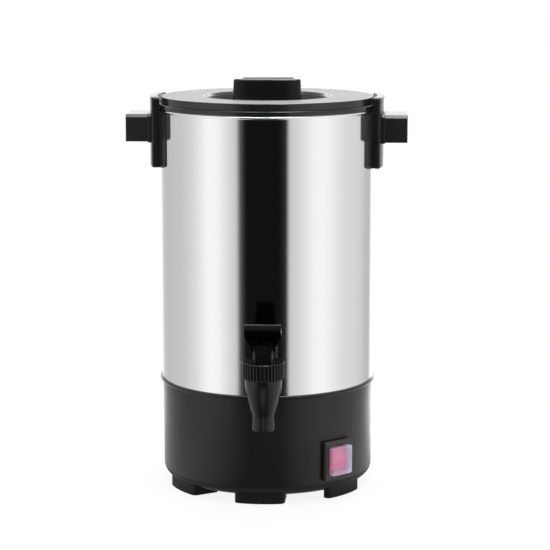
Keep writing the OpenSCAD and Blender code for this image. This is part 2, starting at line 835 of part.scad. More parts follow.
wall_face = base_top_r - base_draft / 2;
pocket_in = 1.2;
pocket_r = tank_r - pocket_in;
pocket_pad = 3.6;
pad_back = 1.5;
pad_margin = 2;
boss_r = 6.5;
boss_h = 9;
boss_top = base_in_z + boss_h;
sink_r = head_r + slip;
sink_h = 4;
cover_lap = 5;
cover_boss_r = 3.2;
cover_boss_h = 8;
cover_screw_ring = cover_r - cover_lap / 2;
cover_screw_bite = 8;
pillar_turns = [-30, 90, 210];
cover_turns = [20, 140, 260];
slot_count = 12;
slot_len = 22;
slot_wide = 4;
slot_ring = 38;
foot_rib_t = 3;

// Solid outline of the base without its hollow
module base_outline() {
    band(0, base_foot_r - base_round, foot_h, foot_h + base_round);
    translate([base_foot_r - base_round, foot_h + base_round]) circle(base_round);
    polygon([
        [0, foot_h + base_round], [base_foot_r, foot_h + base_round],
        [base_top_r, seam_z - lip_h - lip_slope], [lip_r, seam_z - lip_h], [lip_r, seam_z], [0, seam_z]
    ]);
}

module base_hollow() {
    r = base_round - base_wall;
    band(0, base_foot_r - base_round, base_in_z, base_in_z + r);
    translate([base_foot_r - base_round, base_in_z + r]) circle(r);
    polygon([
        [0, base_in_z + r], [base_foot_r - base_wall, base_in_z + r],
        [base_top_r - base_wall, seam_z - lip_h], [base_top_r - base_wall, seam_z + through],
        [0, seam_z + through]
    ]);
}

module base_shell() {
    color([0.14, 0.14, 0.14]) difference() {
        union() {
            rotate_extrude($fn = 128) difference() { base_outline(); base_hollow(); }
            for (turn = pillar_turns) at_turn(turn, pillar_ring, foot_h + through)
                cylinder(h = boss_top - foot_h - through, r = boss_r);
            for (turn = cover_turns) at_turn(turn, cover_screw_ring, foot_h + cover_t)
                cylinder(h = base_floor - cover_t + cover_boss_h, r = cover_boss_r);
            at_turn(switch_turn, pocket_r - pocket_pad, switch_z - bezel_h / 2 - pad_margin)
                translate([0, -bezel_w / 2 - pad_margin, 0])
                    cube([pocket_pad - pad_back, bezel_w + 2 * pad_margin, bezel_h + 2 * pad_margin]);
            inlet_plinth();
        }
        translate([0, 0, foot_h - through]) cylinder(h = cover_t + through, r = cover_r + slip, $fn = 96);
        translate([0, 0, foot_h]) cylinder(h = base_floor + through, r = cover_r - cover_lap, $fn = 96);
        for (turn = pillar_turns) at_turn(turn, pillar_ring, foot_h - through) {
            cylinder(h = boss_top, r = screw_r + slip);
            cylinder(h = sink_h + through, r = sink_r);
        }
        for (turn = cover_turns) at_turn(turn, cover_screw_ring, foot_h)
            cylinder(h = cover_t + cover_screw_bite, r = small_screw_r + fit);
        at_turn(switch_turn, pocket_r, switch_z - bezel_h / 2 - slip)
            translate([0, -bezel_w / 2 - slip, 0])
                cube([bezel_out + base_wall, bezel_w + 2 * slip, bezel_h + 2 * slip]);
        at_turn(switch_turn, pocket_r - pocket_pad - base_wall, switch_z - body_h / 2 - slip)
            translate([0, -body_w / 2 - slip, 0])
                cube([pocket_pad + base_wall + through, body_w + 2 * slip, body_h + 2 * slip]);
        inlet_cutout();
    }
}

module bottom_cover() {
    color([0.12, 0.12, 0.12]) difference() {
        translate([0, 0, foot_h]) cylinder(h = cover_t, r = cover_r, $fn = 96);
        for (turn = cover_turns) at_turn(turn, cover_screw_ring, foot_h - through)
            cylinder(h = cover_t + 2 * through, r = small_screw_r + fit);
        for (i = [0 : slot_count - 1]) rotate([0, 0, i * 360 / slot_count])
            translate([slot_ring, 0, foot_h - through])
                linear_extrude(cover_t + 2 * through) soft_rect(slot_len, slot_wide, slot_wide / 2 - fit);
    }
}

module feet() {
    half = foot_r * sin(foot_span / 2);
    color([0.1, 0.1, 0.1]) difference() {
        for (group = [0, 180], i = [-1 : 1]) at_turn(foot_turn + group + i * foot_pitch)
            linear_extrude(foot_h + base_round) intersection() {
                circle(foot_r, $fn = 128);
                union() {
                    difference() {
                        translate([0, -half]) square([foot_r, 2 * half]);
                        circle(foot_r - foot_depth, $fn = 128);
                    }
                    translate([foot_r - foot_rib, half - foot_rib_t]) square([foot_rib, foot_rib_t]);
                }
            }
        rotate_extrude($fn = 128) base_outline();
    }
}

module base_screws() {
    color("silver") for (turn = pillar_turns) at_turn(turn, pillar_ring, foot_h + sink_h)
        mirror([0, 0, 1]) screw(screw_r, boss_top - foot_h - sink_h + pillar_bite - through, head_r, head_t);
}

module cover_screws() {
    color("silver") for (turn = cover_turns) at_turn(turn, cover_screw_ring, foot_h)
        mirror([0, 0, 1])
            screw(small_screw_r, cover_t + cover_screw_bite - through, small_head_r, small_head_t);
}

// ---------------------------------------------------------------- heating parts under the tank

pillar_bite = 12;
pillar_neck_r = pillar_r - 1;
shield_z = floor_z - shield_drop;
shield_t = 0.8;
shield_in = 12.5;
shield_r = tank_r - shield_in;
shield_rim = 5;
pass_r = 5;
wire_pass = [[-34, -30], [11, 22], [38, 44]];
clip_r = 7;

module tank_pillars() {
    color("silver") for (turn = pillar_turns) at_turn(turn, pillar_ring) difference() {
        union() {
            translate([0, 0, shield_z]) cylinder(h = floor_z - shield_z, r = pillar_r);
            translate([0, 0, boss_top]) cylinder(h = shield_z - boss_top, r = pillar_neck_r);
        }
        translate([0, 0, boss_top - through]) cylinder(h = pillar_bite + through, r = screw_r + fit);
    }
}

module heat_shield() {
    color("lightgray") difference() {
        translate([0, 0, shield_z - shield_t]) rotate_extrude($fn = 96) {
            band(0, shield_r, 0, shield_t);
            band(shield_r - shield_t, shield_r, 0, shield_rim);
        }
        for (turn = pillar_turns) at_turn(turn, pillar_ring, shield_z - shield_t - through)
            cylinder(h = shield_t + 2 * through, r = pillar_neck_r + fit);
        for (p = wire_pass) translate([p[0], p[1], shield_z - shield_t - through])
            cylinder(h = shield_t + 2 * through, r = pass_r);
        translate([earth_at[0], earth_at[1], shield_z - shield_t - through])
            cylinder(h = shield_t + 2 * through, r = small_screw_r + fit);
    }
}

module shield_clips() {
    color("gray") for (turn = pillar_turns) at_turn(turn, pillar_ring, shield_z - 2 * shield_t)
        difference() {
            cylinder(h = shield_t, r = clip_r);
            translate([0, 0, -through]) cylinder(h = shield_t + 2 * through, r = pillar_neck_r + fit);
        }
}

plate_t = 4;
plate_r = well_r - 1;
plate_z = well_z - plate_t;
stud_r = 2.5;
clamp_t = 2;
clamp_w = 12;
clamp_l = 56;
clamp_z = plate_z - 2 * element_tube - clamp_t;
clamp_nut_r = 4.6;
clamp_nut_h = 4;
stud_tail = 2;
tail_r = 2;
tail_h = 9;
element_gap = 60;
warm_gap = 30;
warm_turn = 140;

module element_plate() {
    color("gainsboro") difference() {
        translate([0, 0, plate_z]) cylinder(h = plate_t, r = plate_r);
        translate([0, 0, plate_z - through]) cylinder(h = plate_t + 2 * through, r = stud_r + fit);
    }
}

// A ring of round tube with a gap and two tails hanging from its ends
module ring_element(ring, tube, gap) {
    rotate_extrude(angle = 360 - gap, start = gap / 2) translate([ring, 0]) circle(tube, $fn = 24);
    for (side = [-1, 1]) rotate([0, 0, side * gap / 2])
        translate([ring, 0, -tail_h]) cylinder(h = tail_h, r = tail_r, $fn = 24);
}

module main_element() {
    color("dimgray") translate([0, 0, plate_z - element_tube]) rotate([0, 0, 90])
        ring_element(element_ring, element_tube, element_gap);
}

module keep_warm_element() {
    color("gray") translate([0, 0, floor_z - warm_tube]) at_turn(warm_turn)
        ring_element(warm_ring, warm_tube, warm_gap);
}

module element_clamp() {
    color("lightgray") translate([0, 0, clamp_z]) difference() {
        linear_extrude(clamp_t) soft_rect(clamp_l, clamp_w, clamp_w / 2 - fit);
        translate([0, 0, -through]) cylinder(h = clamp_t + 2 * through, r = stud_r + fit);
    }
}

module centre_stud() {
    color("silver") translate([0, 0, clamp_z - clamp_nut_h - stud_tail])
        cylinder(h = well_z - clamp_z + clamp_nut_h + stud_tail, r = stud_r);
}

module clamp_nut() {
    color("silver") translate([0, 0, clamp_z - clamp_nut_h]) difference() {
        cylinder(h = clamp_nut_h, r = clamp_nut_r, $fn = 6);
        translate([0, 0, -through]) cylinder(h = clamp_nut_h + 2 * through, r = stud_r + fit);
    }
}

stat_ring = 46;
stat_turn = -75;
stat_r = 8.5;
stat_h = 10;
tab_w = 6.3;
tab_t = 0.8;
tab_h = 7;
tab_at = 5;
leaf_w = 6;
leaf_t = 0.8;
leaf_foot = 10;
leaf_tip = 4.6;
fuse_turn = -120;
fuse_r = 2;
fuse_l = 16;
strap_w = 5;
strap_l = 12;
strap_t = 1;

module thermostat() {
    color("saddlebrown") at_turn(stat_turn, stat_ring, floor_z - stat_h) {
        cylinder(h = stat_h, r = stat_r);
        for (side = [-1, 1]) translate([-tab_w / 2, side * tab_at - tab_t / 2, -tab_h])
            cube([tab_w, tab_t, tab_h + through]);
    }
}

// Leaf spring that stands on the heat shield and presses the thermostat to the tank
module thermostat_clip() {
    h = floor_z - stat_h - shield_z;
    color("silver") at_turn(stat_turn, stat_ring, shield_z) translate([0, leaf_w / 2, 0])
        rotate([90, 0, 0]) linear_extrude(leaf_w) polygon([
            [-leaf_foot, 0], [leaf_t / 2, 0], [leaf_tip + leaf_t, h], [-leaf_tip, h],
            [-leaf_tip, h - leaf_t], [leaf_tip, h - leaf_t], [0, leaf_t], [-leaf_foot, leaf_t]
        ]);
}

module thermal_fuse() {
    color("tan") at_turn(fuse_turn, stat_ring, floor_z - fuse_r) rotate([90, 0, 0])
        translate([0, 0, -fuse_l / 2]) cylinder(h = fuse_l, r = fuse_r);
}

module fuse_strap() {
    color("silver") at_turn(fuse_turn, stat_ring, floor_z) difference() {
        translate([-strap_l / 2, -strap_w / 2, -2 * fuse_r - strap_t])
            cube([strap_l, strap_w, 2 * fuse_r + strap_t]);
        translate([0, strap_w, -fuse_r]) rotate([90, 0, 0]) cylinder(h = 2 * strap_w, r = fuse_r + fit);
        translate([-fuse_r - fit, -strap_w, -fuse_r])
            cube([2 * (fuse_r + fit), 2 * strap_w, fuse_r + through]);
    }
}

// ---------------------------------------------------------------- switch

body_w = 27;
body_h = 29.5;
body_deep = 22;
rocker_w = 17.6;
rocker_side = [
    [-7, -7], [-7, 7], [1.5, 10], [4.2, 9.6], [5.6, 0], [4.2, -9.6], [1.5, -10]
];
rocker_gap = 0.4;
rocker_room = 21.6;
rocker_deep = 12;
rocker_pin_r = 1.2;
rocker_pin_out = 2;
rocker_back = 1.5;
window_round = 2.2;
bezel_face = wall_face + bezel_out;
lamp_r = 2.4;
lamp_l = 12;
lamp_back = 15;
lamp_slot = 2;
contact_side = 6;
contact_rise = 7;
contact_out = 8;
contact_w = 6.3;
contact_t = 0.8;

// Moves its children to the switch, with +X pointing out of the base
module at_switch() { at_turn(switch_turn, 0, switch_z) children(); }

module switch_bezel() {
    deep = bezel_face - pocket_r;
    color([0.11, 0.11, 0.11]) at_switch() difference() {
        intersection() {
            translate([bezel_face - deep, 0, 0]) soft_block(2 * deep, bezel_w, bezel_h, soft / 2);
            translate([pocket_r, -bezel_w, -bezel_h]) cube([deep, 2 * bezel_w, 2 * bezel_h]);
        }
        translate([pocket_r - through, 0, 0]) rotate([90, 0, 90])
            linear_extrude(deep + 2 * through)
                soft_rect(window_w + 2 * fit, window_h + 2 * fit, window_round);
    }
}

module switch_body() {
    color([0.2, 0.2, 0.2]) at_switch() difference() {
        translate([pocket_r - body_deep, -body_w / 2, -body_h / 2]) cube([body_deep, body_w, body_h]);
        translate([pocket_r - rocker_deep, -rocker_w / 2 - rocker_gap, -rocker_room / 2])
            cube([rocker_deep + through, rocker_w + 2 * rocker_gap, rocker_room]);
        translate([pocket_r - rocker_back, rocker_w / 2 + rocker_pin_out + slip, 0]) rotate([90, 0, 0])
            cylinder(h = rocker_w + 2 * rocker_pin_out + 2 * slip, r = rocker_pin_r + fit);
        translate([pocket_r - lamp_back, lamp_l / 2 + slip, 0]) rotate([90, 0, 0])
            cylinder(h = lamp_l + 2 * slip, r = lamp_r + fit);
        translate([pocket_r - lamp_back, -lamp_l / 3, -lamp_slot / 2])
            cube([lamp_back - rocker_deep + through, 2 * lamp_l / 3, lamp_slot]);
    }
}

module switch_contacts() {
    color("gold") at_switch() for (y = [-1, 1], z = [-1, 1])
        translate([contact_tail, y * contact_side - contact_t / 2, z * contact_rise - contact_w / 2])
            cube([contact_out, contact_t, contact_w]);
}

module switch_lamp() {
    color("orange") at_switch() translate([pocket_r - lamp_back, lamp_l / 2, 0]) rotate([90, 0, 0])
        cylinder(h = lamp_l, r = lamp_r);
}

module rocker() {
    color([0.85, 0.1, 0.2]) at_switch() translate([pocket_r - rocker_back, 0, 0])
        rotate([0, rocker_tilt, 0]) {
            translate([0, rocker_w / 2, 0]) rotate([90, 0, 0]) linear_extrude(rocker_w) polygon(rocker_side);
            translate([0, rocker_w / 2 + rocker_pin_out, 0]) rotate([90, 0, 0])
                cylinder(h = rocker_w + 2 * rocker_pin_out, r = rocker_pin_r);
        }
}

// Clear cap that stands in the bezel over the rocker
module switch_cover() {
    tall = bezel_face + window_out - pocket_r;
    color([0.8, 0.8, 0.95, 0.5]) at_switch() intersection() {
        difference() {
            translate([pocket_r, 0, 0]) soft_block(2 * tall, window_w, window_h, window_round);
            translate([pocket_r, 0, 0])
                soft_block(2 * (tall - window_t), window_w - 2 * window_t, window_h - 2 * window_t,
                    window_round - window_t);
        }
        translate([pocket_r, -window_w, -window_h]) cube([2 * tall, 2 * window_w, 2 * window_h]);
    }
}

// ---------------------------------------------------------------- power inlet

inlet_turn = 180;
inlet_z = 46;
plinth_w = 58;
plinth_h = 31;
plinth_out = 2;
plinth_deep = 9;
plinth_face = base_top_r + plinth_out;
flange_w = 50;
flange_h = 24;
flange_thick = 2.5;
flange_corner = 4;
housing_w = 28;
housing_h = 20;
housing_deep = 21;
socket_w = 24.6;
socket_h = 16.6;
socket_corner = 2;
socket_deep = 16.5;
key_w = 3;
key_h = 1.6;
blade_pitch = 7;
blade_drop = 2;
blade_w = 2;
blade_h = 4;
blade_out = 14;
blades = [[-blade_pitch, -blade_drop], [blade_pitch, -blade_drop], [0, blade_drop]];
tail_out = 7;
inlet_screw_pitch = 20;
inlet_screw_bite = 8;

module at_inlet() { at_turn(inlet_turn, 0, inlet_z) children(); }

// Flat pad on the round wall that carries the inlet
module inlet_plinth() {
    at_inlet() translate([plinth_face - plinth_deep - plinth_out, -plinth_w / 2, -plinth_h / 2])
        cube([plinth_deep + plinth_out, plinth_w, plinth_h]);
}

module inlet_cutout() {
    at_inlet() {
        translate([plinth_face - housing_deep - slip, -housing_w / 2 - slip, -housing_h / 2 - slip])
            cube([housing_deep + through, housing_w + 2 * slip, housing_h + 2 * slip]);
        for (y = [-inlet_screw_pitch, inlet_screw_pitch])
            translate([plinth_face - inlet_screw_bite, y, 0])
                bar_x(inlet_screw_bite + through, small_screw_r + fit);
    }
}

module inlet_housing() {
    color([0.07, 0.07, 0.07]) at_inlet() difference() {
        union() {
            translate([plinth_face, 0, 0]) rotate([90, 0, 90])
                linear_extrude(flange_thick) soft_rect(flange_w, flange_h, flange_corner);
            translate([plinth_face - housing_deep, -housing_w / 2, -housing_h / 2])
                cube([housing_deep + through, housing_w, housing_h]);
        }
        translate([plinth_face + flange_thick - socket_deep, 0, 0]) rotate([90, 0, 90])
            linear_extrude(socket_deep + through) difference() {
                soft_rect(socket_w, socket_h, socket_corner);
                translate([-key_w / 2, -socket_h / 2]) square([key_w, key_h]);
            }
        for (y = [-inlet_screw_pitch, inlet_screw_pitch])
            translate([plinth_face - through, y, 0]) bar_x(flange_thick + 2 * through, small_screw_r + fit);
        for (b = blades) translate([plinth_face - housing_deep - through, b[0] - blade_w / 2 - fit,
            b[1] - blade_h / 2 - fit]) cube([housing_deep, blade_w + 2 * fit, blade_h + 2 * fit]);
    }
}

module inlet_blades() {
    tip = plinth_face + flange_thick - socket_deep + blade_out;
    color("silver") at_inlet() for (b = blades)
        translate([blade_tail, b[0] - blade_w / 2, b[1] - blade_h / 2])
            cube([tip - blade_tail, blade_w, blade_h]);
}

module inlet_screws() {
    color("silver") at_inlet() for (y = [-inlet_screw_pitch, inlet_screw_pitch])
        translate([plinth_face + flange_thick, y, 0]) rotate([0, 90, 0])
            screw(small_screw_r, flange_thick + inlet_screw_bite - slip, small_head_r, small_head_t);
}

// ---------------------------------------------------------------- wiring in the base

block_at = [-21, 32];
block_size = [36, 16, 14];
block_pitch = 11;
block_z = foot_h + cover_t;
lug_bore = 2.6;
entry_z = block_z + block_size[2] / 2;
entry_y = block_at[1] + block_size[1] / 4;
exit_y = block_at[1] - block_size[1] / 4;
earth_at = [-20, 52];
tag_l = 6.4;
tag_t = 0.8;
tag_half = 3.2;
earth_screw_l = 6;
wire_at = 5;
lead = 10;
above = 4;
// Bends of the wires over the base floor, as turn, distance from the urn's axis and height
live_bend = [121, 42, 38];
switched_bend = [-24, 48, 34];
warm_bends = [[-103, 27, 20], [108, 19, 22], [130, 44, 28]];
spare_bend = [90, 34, 44];
// Drop of a wire's bend below the heat shield, just before it passes up through it
pass_drop = 15;
// How far a link runs past the thermostat's circle, and its turn past the fuse
link_out = 3.5;
link_turn = 26;

module terminal_block() {
    color("ivory") translate([block_at[0], block_at[1], block_z]) difference() {
        translate([-block_size[0] / 2, -block_size[1] / 2, 0]) cube(block_size);
        for (i = [-1 : 1]) translate([i * block_pitch, 0, 0]) {
            translate([0, block_size[1], block_size[2] / 2]) rotate([90, 0, 0])
                cylinder(h = 2 * block_size[1], r = wire_r + 2 * slip);
            translate([0, 0, block_size[2] / 2]) cylinder(h = block_size[2], r = lug_bore);
        }
    }
}

module terminal_screws() {
    color("darkgoldenrod") for (i = [-1 : 1])
        translate([block_at[0] + i * block_pitch, block_at[1], block_z + block_size[2] - head_t])
            screw(small_screw_r, block_size[2] / 4, lug_bore - fit, small_head_t);
}

// A point at a turn and distance from the urn's axis, moved sideways towards larger turns
function at(turn, r, side, z) = [r * sin(turn) + side * cos(turn), side * sin(turn) - r * cos(turn), z];
function below(p, drop) = [p[0], p[1], p[2] - drop];
function bend_at(b) = at(b[0], b[1], 0, b[2]);

// Ends of the terminals that the wires reach
blade_tail = plinth_face - housing_deep - tail_out;
contact_tail = pocket_r - body_deep - contact_out;
warm_z = floor_z - warm_tube - tail_h;
main_z = plate_z - element_tube - tail_h;
tab_z = floor_z - stat_h - tab_h;
fuse_z = floor_z - fuse_r;

module live_wire() {
    z = switch_z + contact_rise;
    color("saddlebrown") wire([
        at(inlet_turn, blade_tail, -blade_pitch, inlet_z - blade_drop),
        at(inlet_turn, blade_tail - lead, -blade_pitch, inlet_z - blade_drop),
        bend_at(live_bend), at(switch_turn, contact_tail - lead, contact_side, z),
        at(switch_turn, contact_tail, contact_side, z)
    ]);
}

module switched_wire() {
    z = switch_z - contact_rise;
    tab = at(stat_turn, stat_ring, tab_at, tab_z);
    color("black") wire([
        at(switch_turn, contact_tail, -contact_side, z),
        at(switch_turn, contact_tail - lead, -contact_side, z),
        bend_at(switched_bend), [wire_pass[0][0], wire_pass[0][1], shield_z - pass_drop],
        [wire_pass[0][0], wire_pass[0][1], shield_z + above], below(tab, wire_at), tab
    ]);
}

// From the thermostat to the fuse, and from the fuse to the main element
module link_wires() {
    tab = at(stat_turn, stat_ring, -tab_at, tab_z);
    near = at(fuse_turn, stat_ring, fuse_l / 2, fuse_z);
    far = at(fuse_turn, stat_ring, -fuse_l / 2, fuse_z);
    tail = [-element_ring * sin(element_gap / 2), element_ring * cos(element_gap / 2), main_z];
    color("white") {
        wire([tab, below(tab, wire_at),
            at((stat_turn + fuse_turn) / 2, stat_ring + link_out, 0, shield_z + lead),
            at(fuse_turn, stat_ring, fuse_l / 2 + wire_at, fuse_z), near]);
        wire([far, at(fuse_turn, stat_ring, -fuse_l / 2 - wire_at, fuse_z),
            at(fuse_turn - link_turn, stat_ring - link_out, 0, shield_z + lead), below(tail, above), tail]);
    }
}

module neutral_wire() {
    x = block_at[0] + block_pitch;
    tail = [element_ring * sin(element_gap / 2), element_ring * cos(element_gap / 2), main_z];
    pass = wire_pass[1];
    color("royalblue") {
        wire([at(inlet_turn, blade_tail, blade_pitch, inlet_z - blade_drop),
            at(inlet_turn, blade_tail - lead, blade_pitch, inlet_z - blade_drop),
            [x, block_at[1] + 2 * lead, entry_z], [x, entry_y, entry_z]]);
        wire([[x, exit_y, entry_z], [x, exit_y - lead, entry_z], [pass[0], pass[1], shield_z - 2 * pass_drop],
            [pass[0], pass[1], shield_z + wire_r], below(tail, above), tail]);
    }
}

module warm_wires() {
    x = block_at[0] - block_pitch;
    pass = wire_pass[2];
    offset = 1.6;
    z = switch_z + contact_rise;
    a = at(warm_turn + warm_gap / 2, warm_ring, 0, warm_z);
    b = at(warm_turn - warm_gap / 2, warm_ring, 0, warm_z);
    color("white") {
        wire([[x, exit_y, entry_z], [x, exit_y - lead, entry_z], each [for (b = warm_bends) bend_at(b)],
            [pass[0] - offset, pass[1] - offset, shield_z - pass_drop],
            [pass[0] - offset, pass[1] - offset, shield_z + wire_at], below(a, wire_at), a]);
        wire([at(switch_turn, contact_tail, -contact_side, z),
            at(switch_turn, contact_tail - lead, -contact_side, z), bend_at(spare_bend),
            [pass[0] + offset, pass[1] + offset, shield_z - pass_drop],
            [pass[0] + offset, pass[1] + offset, shield_z + wire_at], below(b, wire_at), b]);
    }
}

module earth_wire() {
    z = shield_z - shield_t - tag_t;
    color("yellowgreen") {
        translate([earth_at[0], earth_at[1], z]) difference() {
            translate([-tag_half, -tag_half, 0]) cube([tag_half + tag_l, 2 * tag_half, tag_t]);
            translate([0, 0, -through]) cylinder(h = tag_t + 2 * through, r = small_screw_r + fit);
        }
        wire([at(inlet_turn, blade_tail, 0, inlet_z + blade_drop),
            at(inlet_turn, blade_tail - lead, 0, inlet_z + blade_drop),
            [earth_at[0] + wire_at, earth_at[1], z - lead], [earth_at[0] + wire_at, earth_at[1], z]]);
    }
}

module earth_screw() {
    color("silver") translate([earth_at[0], earth_at[1], shield_z - shield_t - tag_t])
        mirror([0, 0, 1]) screw(small_screw_r, earth_screw_l, small_head_r, small_head_t);
}

lid();
lid_knob();
knob_screws();
tank();
rim_collar();
handle_left();
handle_right();
handle_screws();
handle_washers();
pump_tube();
pump_valve();
coffee_basket();
basket_spreader();
tap_body();
tap_outer_washer();
tap_inner_washer();
tap_nut();
tap_bonnet();
valve_spring();
lever_pin();
tap_lever();
valve_stem();
seat_cup();
base_shell();
bottom_cover();
feet();
base_screws();
cover_screws();
tank_pillars();
heat_shield();
shield_clips();
element_plate();
main_element();
element_clamp();
centre_stud();
clamp_nut();
keep_warm_element();
thermostat();
thermostat_clip();
thermal_fuse();
fuse_strap();
terminal_block();
terminal_screws();
live_wire();
switched_wire();
link_wires();
neutral_wire();
warm_wires();
earth_wire();
earth_screw();
switch_bezel();
switch_body();
switch_contacts();
switch_lamp();
rocker();
switch_cover();
inlet_housing();
inlet_blades();
inlet_screws();
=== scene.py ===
# %% [markdown]
# # A percolating coffee urn
# The urn is a tank of brushed steel in a black moulded base. A black lid lies on it, two black
# brackets carry its handles, a lever tap stands at its front, and a red switch glows low on the
# right. The imported model gives every part its place. What follows dresses the parts that show
# and gives each part a finish. The first cell loads the model, and two helpers read a part's
# edges and middle off it, so that what fits stays fitting.

# %% Load the model
import json
import math

import bmesh
import bpy
from mathutils import Matrix, Vector


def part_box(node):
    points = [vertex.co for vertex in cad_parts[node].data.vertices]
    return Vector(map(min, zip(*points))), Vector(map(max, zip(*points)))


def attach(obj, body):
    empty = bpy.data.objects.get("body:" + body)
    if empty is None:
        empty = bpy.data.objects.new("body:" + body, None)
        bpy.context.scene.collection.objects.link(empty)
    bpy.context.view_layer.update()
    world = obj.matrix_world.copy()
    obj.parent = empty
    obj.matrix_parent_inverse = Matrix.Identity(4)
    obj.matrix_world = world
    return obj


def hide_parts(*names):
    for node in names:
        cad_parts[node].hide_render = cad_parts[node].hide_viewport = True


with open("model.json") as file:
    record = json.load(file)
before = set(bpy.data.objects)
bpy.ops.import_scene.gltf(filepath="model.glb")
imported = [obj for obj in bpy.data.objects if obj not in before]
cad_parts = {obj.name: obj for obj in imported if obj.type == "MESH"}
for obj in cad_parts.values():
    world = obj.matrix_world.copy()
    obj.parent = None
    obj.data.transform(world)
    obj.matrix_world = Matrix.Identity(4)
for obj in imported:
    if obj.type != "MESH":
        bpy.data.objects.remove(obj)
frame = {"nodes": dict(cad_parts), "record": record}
NODES, NODE_ROWS = frame["nodes"], frame["record"]["subparts"]
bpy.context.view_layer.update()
MM = 0.001


def edges(node):
    """The lowest and the highest corner of a node at rest, in millimetres."""
    return [[round(x / MM, 3) for x in corner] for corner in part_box(node)]


def middle(node):
    """The middle of a node's box at rest, in millimetres."""
    return [round((low + high) / 2, 3) for low, high in zip(*edges(node))]


# %% [markdown]
# ## Camera
# A long lens keeps the tank's sides parallel. The camera looks down a little, so the lid shows
# its top. It could be aimed by eye, but a direction and a distance from a point on the urn's
# axis can be repeated and corrected one number at a time.

# %% Camera
AIM = Vector((0, 0, 0.1861))
DISTANCE, SHIFT = 1.787, 0.0066
TURN, TILT = math.radians(1.4), math.radians(9.6)
SENSOR, LENS = 36, 130.91
back = Vector((math.sin(TURN) * math.cos(TILT), -math.cos(TURN) * math.cos(TILT), math.sin(TILT)))
right = Vector((math.cos(TURN), math.sin(TURN), 0))
camera = bpy.data.objects.new("camera", bpy.data.cameras.new("camera"))
camera.location = AIM + back * DISTANCE + right * SHIFT
camera.rotation_euler = (math.pi / 2 - TILT, 0, TURN)
camera.data.sensor_width = SENSOR
camera.data.lens = LENS
camera.data.clip_end = 100
bpy.context.scene.collection.objects.link(camera)
bpy.context.scene.camera = camera
print("camera at", tuple(round(x, 3) for x in camera.location))

# %% [markdown]
# ## Shader maths
# A finish is a small network of nodes. Wiring it by hand hides the sum it works out, so a
# socket is wrapped in a class that knows plus, minus and times, and a sum in Python then adds
# the Math nodes by itself. Any other node comes from one method, which sets the node up
# before it fills its sockets. Below it stand the few groups of nodes that come back often.


# %% Signals
def plug(tree, value, socket):
    """Links a signal to a socket, or sets a plain value on it."""
    if isinstance(value, Signal):
        tree.links.new(value.socket, socket)
    else:
        socket.default_value = value


class Signal:
    """An output socket that can be used in a sum."""

    def __init__(self, tree, socket):
        self.tree, self.socket = tree, socket

    def join(self, operation, first, second):
        node = self.tree.nodes.new("ShaderNodeMath")
        node.operation = operation
        plug(self.tree, first, node.inputs[0])
        plug(self.tree, second, node.inputs[1])
        return Signal(self.tree, node.outputs[0])

    def __add__(self, other):
        return self.join("ADD", self, other)

    def __rsub__(self, other):
        return self.join("SUBTRACT", other, self)

    def __mul__(self, other):
        return self.join("MULTIPLY", self, other)

    def __gt__(self, other):
        return self.join("GREATER_THAN", self, other)

    __radd__ = __add__
    __rmul__ = __mul__


print("signals can be added, taken away, multiplied and compared")


# %% Finishes as networks
class Finish:
    """A material in the making, with one shader at its end: Principled, or plain light."""

    def __init__(self, name, **sockets):
        self.material = bpy.data.materials.new(name)
        self.material.use_nodes = True
        self.tree = self.material.node_tree
        self.tree.nodes.clear()
        self.shader = self.tree.nodes.new("ShaderNodeBsdfPrincipled")
        output = self.tree.nodes.new("ShaderNodeOutputMaterial")
        self.tree.links.new(self.shader.outputs[0], output.inputs["Surface"])
        self.place = self.node("TexCoord", pick="Object")
        self.set(**sockets)

    def node(self, kind, settings=None, pick=0, **sockets):
        """Adds a node. Settings come first, and a ramp's stops are the setting `stops`."""
        node = self.tree.nodes.new("ShaderNode" + kind)
        for key, value in (settings or {}).items():
            if key == "stops":
                ramp = node.color_ramp.elements
                for (at, colour), stop in zip(value, [ramp[0], ramp[1]]):
                    stop.position, stop.color = at, colour
                for at, colour in value[2:]:
                    ramp.new(at).color = colour
            else:
                setattr(node, key, value)
        for key, value in sockets.items():
            plug(self.tree, value, node.inputs[key.replace("_", " ")])
        return Signal(self.tree, node.outputs[pick])

    def set(self, **sockets):
        for key, value in sockets.items():
            plug(self.tree, value, self.shader.inputs[key.replace("_", " ")])

    def stretched(self, x, y, z):
        """The place on the part, scaled by axis to draw a pattern out."""
        return self.node("Mapping", Vector=self.place, Scale=(x, y, z))

    def noise(self, scale, detail=2.0, vector=None):
        """Noise from 0 to 1 with a number of grains to the metre."""
        return self.node("TexNoise", Vector=vector or self.place, Scale=scale, Detail=detail)

    def between(self, value, start, end, smooth=False):
        """Goes from 0 to 1 as a value goes from start to end, evenly or with soft ends."""
        return self.node("MapRange", {"interpolation_type": "SMOOTHSTEP" if smooth else "LINEAR"},
                         Value=value, From_Min=start, From_Max=end)

    def split(self, vector):
        """The x, y and z of a vector, each as a signal of its own."""
        node = self.node("SeparateXYZ", Vector=vector).socket.node
        return [Signal(self.tree, part) for part in node.outputs]

    def blend(self, share, first, second):
        """One colour into another by a share from 0 to 1."""
        node = self.tree.nodes.new("ShaderNodeMix")
        node.data_type = "RGBA"
        plug(self.tree, share, node.inputs[0])
        plug(self.tree, first, node.inputs[6])
        plug(self.tree, second, node.inputs[7])
        return Signal(self.tree, node.outputs[2])

    def lit(self, strength):
        """Swaps the Principled shader for plain light of a strength."""
        self.shader = self.tree.nodes.new("ShaderNodeEmission")
        self.shader.inputs["Color"].default_value = (1, 1, 1, 1)
        self.set(Strength=strength)
        output = self.tree.nodes["Material Output"]
        self.tree.links.new(self.shader.outputs[0], output.inputs["Surface"])
        return self

    def relief(self, height, depth):
        """Raises the surface where height is 1 by a depth in metres."""
        self.set(Normal=self.node("Bump", Height=height, Distance=depth, Strength=1.0))


